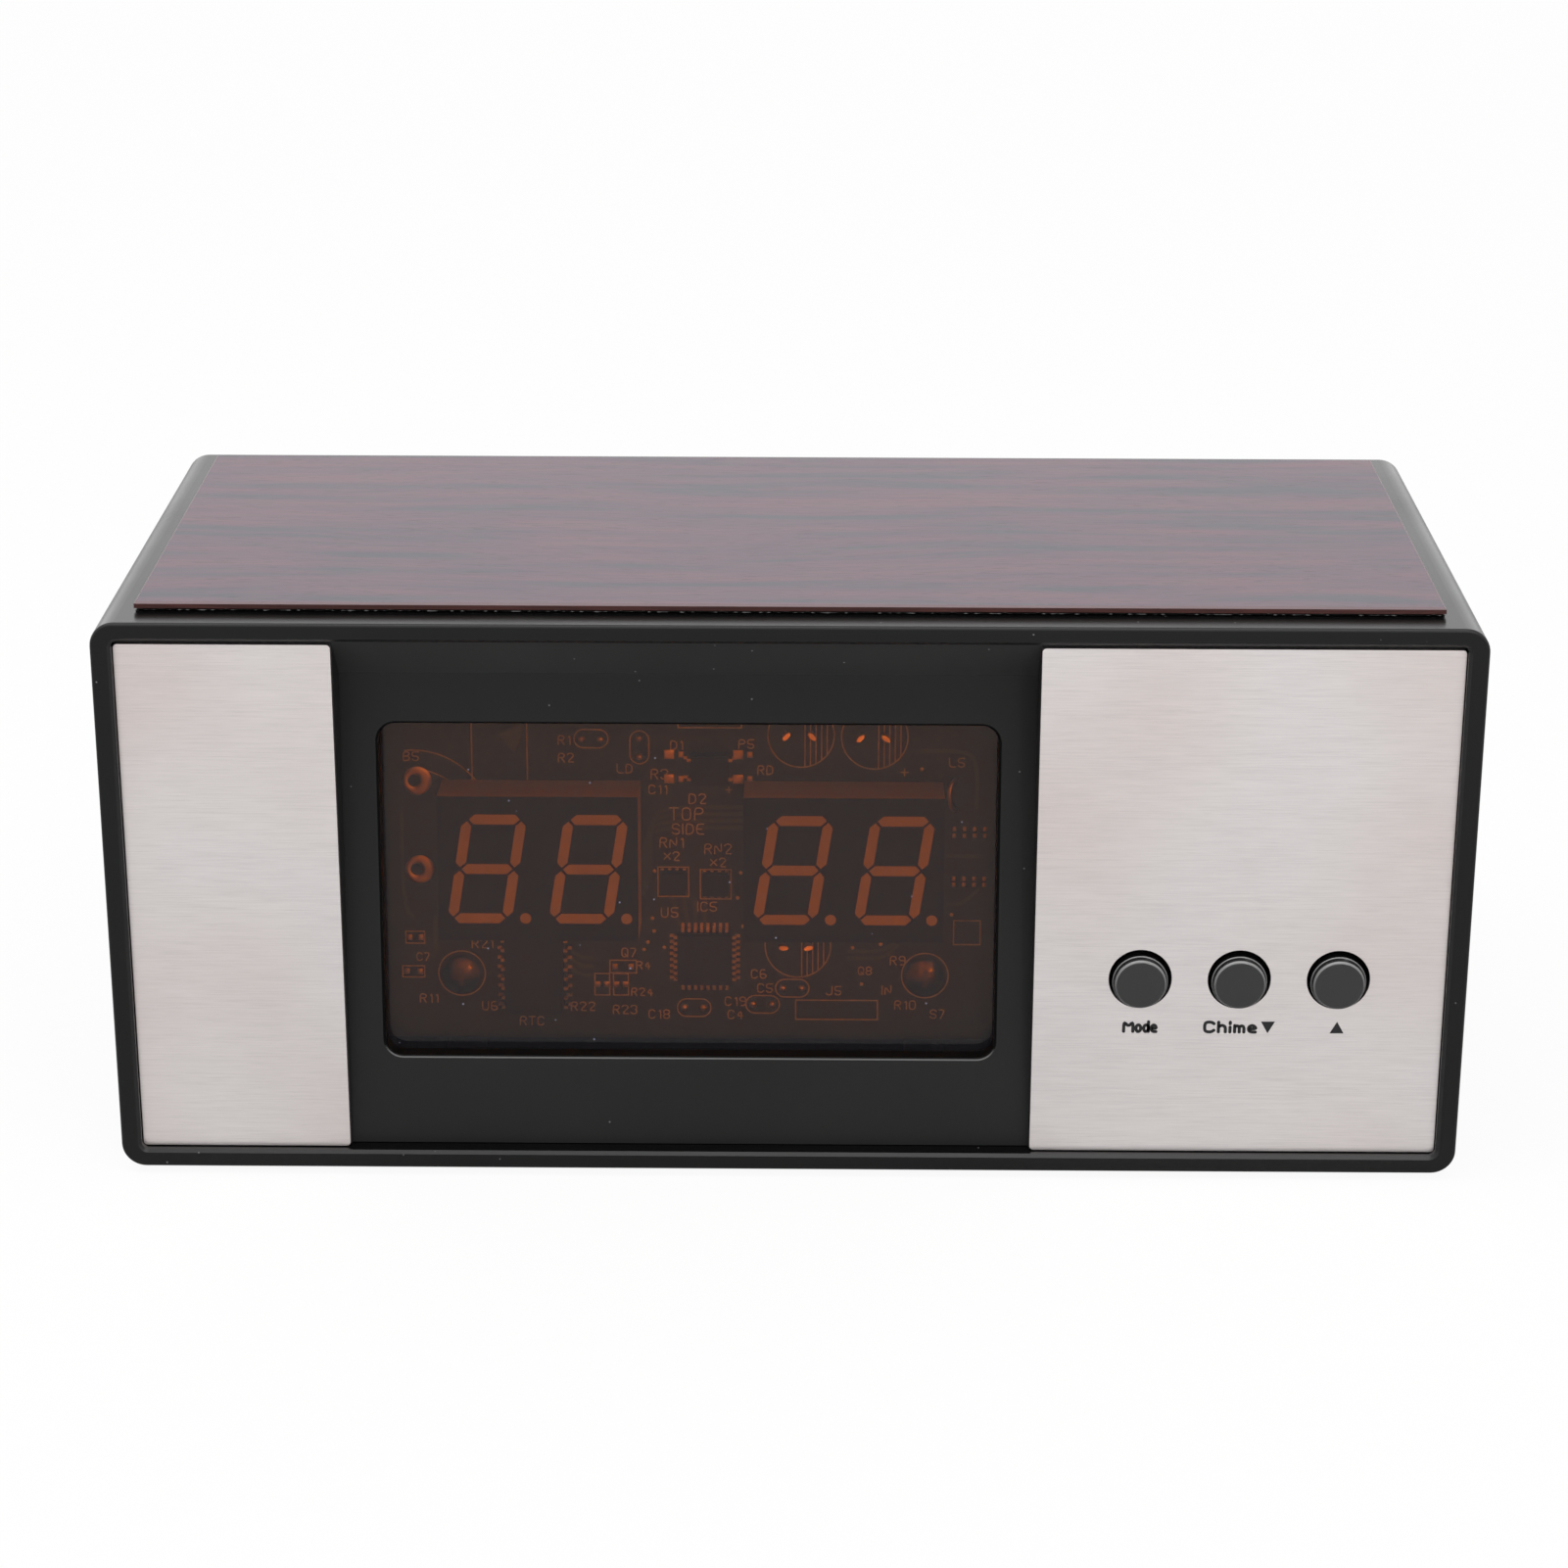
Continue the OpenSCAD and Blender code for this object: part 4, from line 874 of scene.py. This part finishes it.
class CLOCK_OT_solder(bpy.types.Operator):
    """Adds pads, solder mounds, cut leads and a wire link to the board's front."""

    bl_idname = "clock.solder"
    bl_label = "Solder"

    def execute(self, context):
        parts = [self.ring_pad(*place) for place in RING_PADS]
        joint, via = ring(14, 0.5), ring(10, 0.26)
        parts += [mound(*place, joint, 0.4) for place in self.joints()]
        parts += [mound(*place, via, 0.05) for place in VIAS]
        parts += [mound(across, up, UNIT_BOX * size, 0.12) for across, up, *size in self.flat_pads()]
        for number, (across, up) in enumerate(DRUMS):
            parts += [self.lead(across + aside, up, number + aside) for aside in DRUM_LEADS]
        parts.append(self.wire_link())
        # Solder that flowed and set: rounded mirrors with duller patches
        board_piece("solder_joints", parts, plain_metal("solder_flowed", "#f0eadf", 0.28, 2.0))
        return {"FINISHED"}

    def ring_pad(self, across, up):
        """A tinned ring: an oval carried round a circle, its size 1 plus 0.4 times the cosine of the turn."""
        count, radius, rise = 36, 1.3, 0.03
        path = np.column_stack((ring(count, radius) + (across, up), np.full(count, rise)))
        side = np.column_stack((-ring(count), np.zeros(count)))
        swell = 1 + 0.4 * ring(count)[:, 0]
        return swept(path, side, OUT, ring(10) * (0.55, 0.09), swell, closed=True)

    def wire_link(self):
        """A bent wire: half a turn from its upper end to its lower one, bowed to the left and out of the board."""
        across, up, half, bow, rise, radius = 33.4, 32.8, 2.0, 0.9, 0.2, 0.36
        turn = np.linspace(0, math.pi, 17)
        bowed = bow * np.sin(turn)
        return wire(np.column_stack((across - bowed, up + half * np.cos(turn), rise + bowed)), radius)

    def lead(self, across, up, turn):
        """A lead cut on the slant: an oval carried outwards by 1.3, with its end turned up and to the right."""
        cut = np.array((0.17, 0.23, 0.96))
        long = np.cross(cut, (math.sin(turn), 1.0, 0.0))
        long /= np.linalg.norm(long)
        path = np.array(((0.0, 0.0, 0.0), (0.1, 0.1, 1.3))) + (across, up, 0.0)
        return swept(path, long, np.cross(cut, long), ring(16) * (0.62, 0.3))

    def joints(self):
        """Round joints: two under each drum and each disc."""
        for across, up in DRUMS:
            yield from ((across + aside, up) for aside in DRUM_LEADS)
        for across, up, tall in DISCS:
            step = (0.0, DISC_LEAD) if tall else (DISC_LEAD, 0.0)
            yield from ((across - step[0], up - step[1]), (across + step[0], up + step[1]))

    def flat_pads(self):
        """Flat pads: four pairs beside the rectifier, those of the small parts, and rows at the right edge."""
        large, middling, small, least = (1.3, 1.2), (0.7, 0.8), (0.5, 0.6), (0.45, 0.6)
        for across in (-2.2, 6.5):
            for up in (34.6, 37.8):
                yield from ((across - 0.75, up, *large), (across + 0.75, up, *middling))
        for across, up, wide, _ in ENDED_BOXES:
            yield from ((across + end * wide, up, *middling) for end in (-0.3, 0.3))
        for across, up, wide, high in ROW_BOXES:
            for column in range(4):
                step = across + wide * (0.24 * column - 0.36)
                yield from ((step, up + row * high, *least) for row in (-0.38, 0.38))
        for column in range(4):
            for up in (28.2, 27.3, 21.6, 20.8):
                yield (33.2 + 1.3 * column, up, *small)


class CLOCK_OT_buttons(bpy.types.Operator):
    """Finishes the button caps, plungers and switches."""

    bl_idname = "clock.buttons"
    bl_label = "Buttons"

    def execute(self, context):
        sizes, colours = settings()
        # Caps that mirror the lights, with a painted highlight on their edges, and duller stems and switches
        # 8c8c8c is the painted highlight tone on the caps' edges
        grain, painted_highlight = sizes.mould_grain / MM, linear("#8c8c8c")
        cap = moulded_plastic("abs_moulded_polished", colours.button_grey, 0.16, 0.5, grain, highlight_tone=painted_highlight)
        dress(cap, "button_left", "button_middle", "button_right")
        stem = moulded_plastic("acetal_moulded", linear("#7a2f28"), 0.45, 0.4, 0.4)
        dress(stem, "plunger_left", "plunger_middle", "plunger_right")
        dress(moulded_plastic("nylon_moulded_black", linear("#202022"), 0.5, 0.4, 0.4), "switch_bodies")
        return {"FINISHED"}


class CLOCK_OT_inner_parts(bpy.types.Operator):
    """Finishes what the case hides: brackets, cell, capacitors, headers and wires."""

    bl_idname = "clock.inner_parts"
    bl_label = "Inner parts"

    def execute(self, context):
        # Dull mouldings, glossy sleeves, waxy discs, smooth wires and softly bright steel
        moulded = (
            ("abs_moulded_bracket", "#0b0b0c", 0.5, 0.1, 0.4, "lower_bracket", "upper_bracket", "battery_holder"),
            ("nylon_moulded_cream", "#d9d2bd", 0.5, 0.4, 0.5,
             "button_header", "supply_header", "button_board_header"),
            ("vinyl_sleeve_shrunk", "#22304e", 0.35, 0.5, 0.8, "electrolytic_capacitors"),
            ("ceramic_dipped", "#b4762f", 0.4, 0.5, 0.6, "ceramic_capacitors"),
            ("vinyl_wire_extruded", "#8c2320", 0.4, 0.5, 0.6, "button_harness", "supply_leads"),
        )
        for name, code, roughness, level, grain, *nodes in moulded:
            dress(moulded_plastic(name, linear(code), roughness, level, grain), *nodes)
        dress(plain_metal("steel_stamped_nickel_plated", "#c8c4bb", 0.25, 3.0), "coin_cell", "battery_clip")
        return {"FINISHED"}


class CLOCK_OT_inlet(bpy.types.Operator):
    """Finishes the supply inlet at the back."""

    bl_idname = "clock.inlet"
    bl_label = "Supply inlet"

    def execute(self, context):
        # A dull socket with a bright nut and pin
        dress(moulded_plastic("nylon_moulded_inlet", linear("#191919"), 0.45, 0.4, 0.4), "power_jack")
        dress(plain_metal("brass_turned_nickel_plated", "#c9c5bd", 0.26, 1.2), "jack_nut", "jack_pin")
        return {"FINISHED"}


# Strokes of each letter, as digit pairs across and up a grid
GLYPHS = {
    "B": "000636453303 3342413000", "C": "4536160501103041", "D": "00062645412000",
    "E": "46060040 0333", "I": "0006", "J": "4641301001", "L": "060040", "M": "0006336660",
    "N": "00064046", "O": "103041453616050110", "P": "00063645443303", "Q": "103041453616050110 2240",
    "R": "00063645443303 2340", "S": "453616050413334241301001", "T": "0646 2620", "U": "060110304146",
    "0": "103041453616050110", "1": "152620", "2": "05163645440040", "3": "0516364544334241301001",
    "4": "30360242", "5": "460603334241301001", "6": "36160501103041423303", "7": "064610",
    "8": "13040516364544331302011030414233", "9": "43130405163645413010", "+": "0343 2125", "x": "0145 0541",
    "d": "102031332414030110 3630", "e": "023233241403011030", "h": "0006 0314243330", "i": "0003 0506",
    "m": "0004 03142320 23344340", "o": "102031332414030110",
}
# The grid's height and the gap between two letters
GLYPH_RISE = 6
GLYPH_GAP = 2.0

# Corners of a square with sides of 1
UNIT_BOX = np.array(((-0.5, -0.5), (0.5, -0.5), (0.5, 0.5), (-0.5, 0.5)))

# Places on the board's front are across from its middle and up from its foot
# Drums have hatch lines to the right of their middle and a lead on each side of it
DRUM_R = 4.2
HATCH = (0.5, 1.2, 1.9, 2.6, 3.3)
DRUM_LEADS = (-1.9, 1.3)
DRUMS = ((13.7, 40.4), (23.0, 40.2), (13.4, 12.5))
SCREW_R = 3.0
SCREWS = ((-29.7, 8.6), (29.7, 8.6))
CELL = (-35.4, 28.2)
CELL_RADII = (10.0, 7.5)
RING_PADS = ((-35.1, 34.2), (-35.0, 22.5))
TAB = (-22.6, 39.6)
TAB_OUTLINE = np.array(((-2.2, 0.7), (0.3, -1.9), (1.5, 1.7), (1.2, 2.1)))
VIAS = (
    (-5.8, 12.9), (-5.0, 14.4), (-6.3, 11.9), (-5.2, 16.1), (-4.9, 22.4), (6.1, 22.2), (5.7, 18.9), (-3.7, 12.2),
    (6.4, 15.1), (-16.9, 12.9), (-17.6, 7.0), (20.4, 12.3), (21.6, 7.4), (24.0, 12.8), (29.0, 36.0), (33.0, 16.8),
)
# Discs have round ends about a straight middle, a lead on each side, and say whether they stand upright
DISC_R = 1.2
DISC_HALF = 0.95
DISC_LEAD = 1.2
DISCS = (
    (-12.8, 39.8, False), (-6.7, 38.7, True), (0.1, 4.1, False), (8.9, 4.6, False), (12.7, 6.8, False),
)
# Boxes also give their width and height: those with a pad at each end, those with two rows of pads, and the rest
ENDED_BOXES = (
    (-9.0, 9.6, 3.4, 1.7), (-11.7, 7.2, 1.9, 2.9), (-9.3, 7.2, 1.9, 2.9), (-35.6, 13.4, 2.4, 1.6),
    (-35.9, 8.8, 2.8, 1.5),
)
ROW_BOXES = ((-2.5, 21.0, 3.9, 3.9), (2.9, 20.7, 3.9, 3.9))
BOXES = (
    *ENDED_BOXES, *ROW_BOXES, (18.4, 3.9, 10.5, 2.6),
    (-24.4, 38.4, 7.0, 9.2), (2.2, 41.8, 8.0, 1.0), (35.0, 14.4, 3.4, 3.2),
)
# Copper lines under the mask, as points
TRACES = (
    *(((6.4, up), (-3.6 - 0.3 * row, up), (-5.4 - 0.3 * row, up - 1.8), (-5.4 - 0.3 * row, up - 9.0))
      for row, up in enumerate((30.9, 30.0, 29.1, 28.2))),
    *(((-1.8 + 1.1 * column, 13.6), (-1.8 + 1.1 * column, 15.5), (-2.6 + 1.4 * column, 18.7))
      for column in range(4)),
    *(((-19.0, up), (-16.2, up), (-14.6, up - 1.6), (-13.0, up - 1.6)) for up in (12.4, 11.2, 10.0)),
    *(((20.0, up), (24.5, up), (26.2, up + 1.7)) for up in (11.8, 10.9)),
    ((32.6, 24.6), (36.8, 24.6)), ((32.6, 18.2), (34.4, 18.2), (36.4, 20.2)), ((-33.0, 16.2), (-33.0, 11.4)),
    ((28.6, 38.4), (34.6, 38.4), (36.0, 37.0), (36.0, 31.0)), ((-37.0, 30.4), (-37.0, 17.4), (-35.6, 16.0)),
)
# Words, their places and, where it isn't 1, their share of the usual height
LETTERS = (
    ("B5", -35.6, 37.4), ("R1", -16.2, 39.6), ("R2", -16.0, 37.3), ("D1", -2.0, 39.0),
    ("P5", 6.8, 39.2), ("LD", -8.6, 35.9), ("RD", 9.2, 35.8), ("R3", -4.2, 35.2, 1.1),
    ("C11", -4.4, 33.2), ("+", 4.6, 33.2), ("D2", 0.6, 32.0, 1.1), ("TOP", -0.8, 30.0, 1.35),
    ("SIDE", -0.6, 28.0, 1.15), ("RN1", -2.7, 26.2, 1.1), ("x2", -2.7, 24.4), ("RN2", 3.2, 25.4, 1.1),
    ("x2", 3.2, 23.6), ("U5", -3.0, 16.9, 1.1), ("IC5", 1.8, 17.7, 1.05), ("Q7", -8.2, 11.5),
    ("R4", -6.4, 9.8, 0.9), ("R24", -6.6, 6.2, 0.9), ("R21", -27.0, 12.6), ("U6", -26.2, 4.2),
    ("RTC", -20.8, 2.2), ("R22", -14.2, 4.2), ("R23", -8.8, 3.8), ("C18", -4.4, 3.2),
    ("C19", 5.4, 5.0), ("C4", 5.4, 3.2), ("C5", 9.2, 6.8), ("C6", 8.4, 8.7),
    ("J5", 18.0, 6.5), ("IN", 24.8, 6.6), ("R9", 26.2, 10.6), ("Q8", 22.0, 9.2, 0.9),
    ("R10", 27.2, 4.6), ("S7", 31.4, 3.4), ("+", 26.8, 35.6, 1.2), ("L5", 33.4, 36.9),
    ("R11", -34.0, 5.2), ("C7", -34.6, 10.8, 0.9),
)

CLASSES = (
    ClockSizes, ClockColours, ClockStage,
    CLOCK_OT_stage, CLOCK_OT_case, CLOCK_OT_wood_top, CLOCK_OT_steel_plates, CLOCK_OT_labels, CLOCK_OT_window,
    CLOCK_OT_displays, CLOCK_OT_board, CLOCK_OT_board_print, CLOCK_OT_solder, CLOCK_OT_buttons,
    CLOCK_OT_inner_parts, CLOCK_OT_inlet,
)
STEPS = tuple(one.bl_idname for one in CLASSES if issubclass(one, bpy.types.Operator))


class CLOCK_PT_panel(bpy.types.Panel):
    """Lists the clock's steps, sizes and colours."""

    bl_idname = "CLOCK_PT_panel"
    bl_label = "Desk alarm clock"
    bl_space_type = "VIEW_3D"
    bl_region_type = "UI"
    bl_category = "Clock"

    def draw(self, context):
        for step in STEPS:
            self.layout.operator(step)
        for group in (context.scene.clock_sizes, context.scene.clock_colours, context.scene.clock_stage):
            column = self.layout.column()
            for name in group.__annotations__:
                column.prop(group, name)


def register():
    for one in (*CLASSES, CLOCK_PT_panel):
        bpy.utils.register_class(one)
    bpy.types.Scene.clock_sizes = bpy.props.PointerProperty(type=ClockSizes)
    bpy.types.Scene.clock_colours = bpy.props.PointerProperty(type=ClockColours)
    bpy.types.Scene.clock_stage = bpy.props.PointerProperty(type=ClockStage)


def unregister():
    del bpy.types.Scene.clock_sizes, bpy.types.Scene.clock_colours, bpy.types.Scene.clock_stage
    for one in reversed((*CLASSES, CLOCK_PT_panel)):
        bpy.utils.unregister_class(one)


def main():
    """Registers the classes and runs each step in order."""
    register()
    for step in STEPS:
        group, name = step.split(".")
        getattr(getattr(bpy.ops, group), name)()


if __name__ == "__main__":
    main()
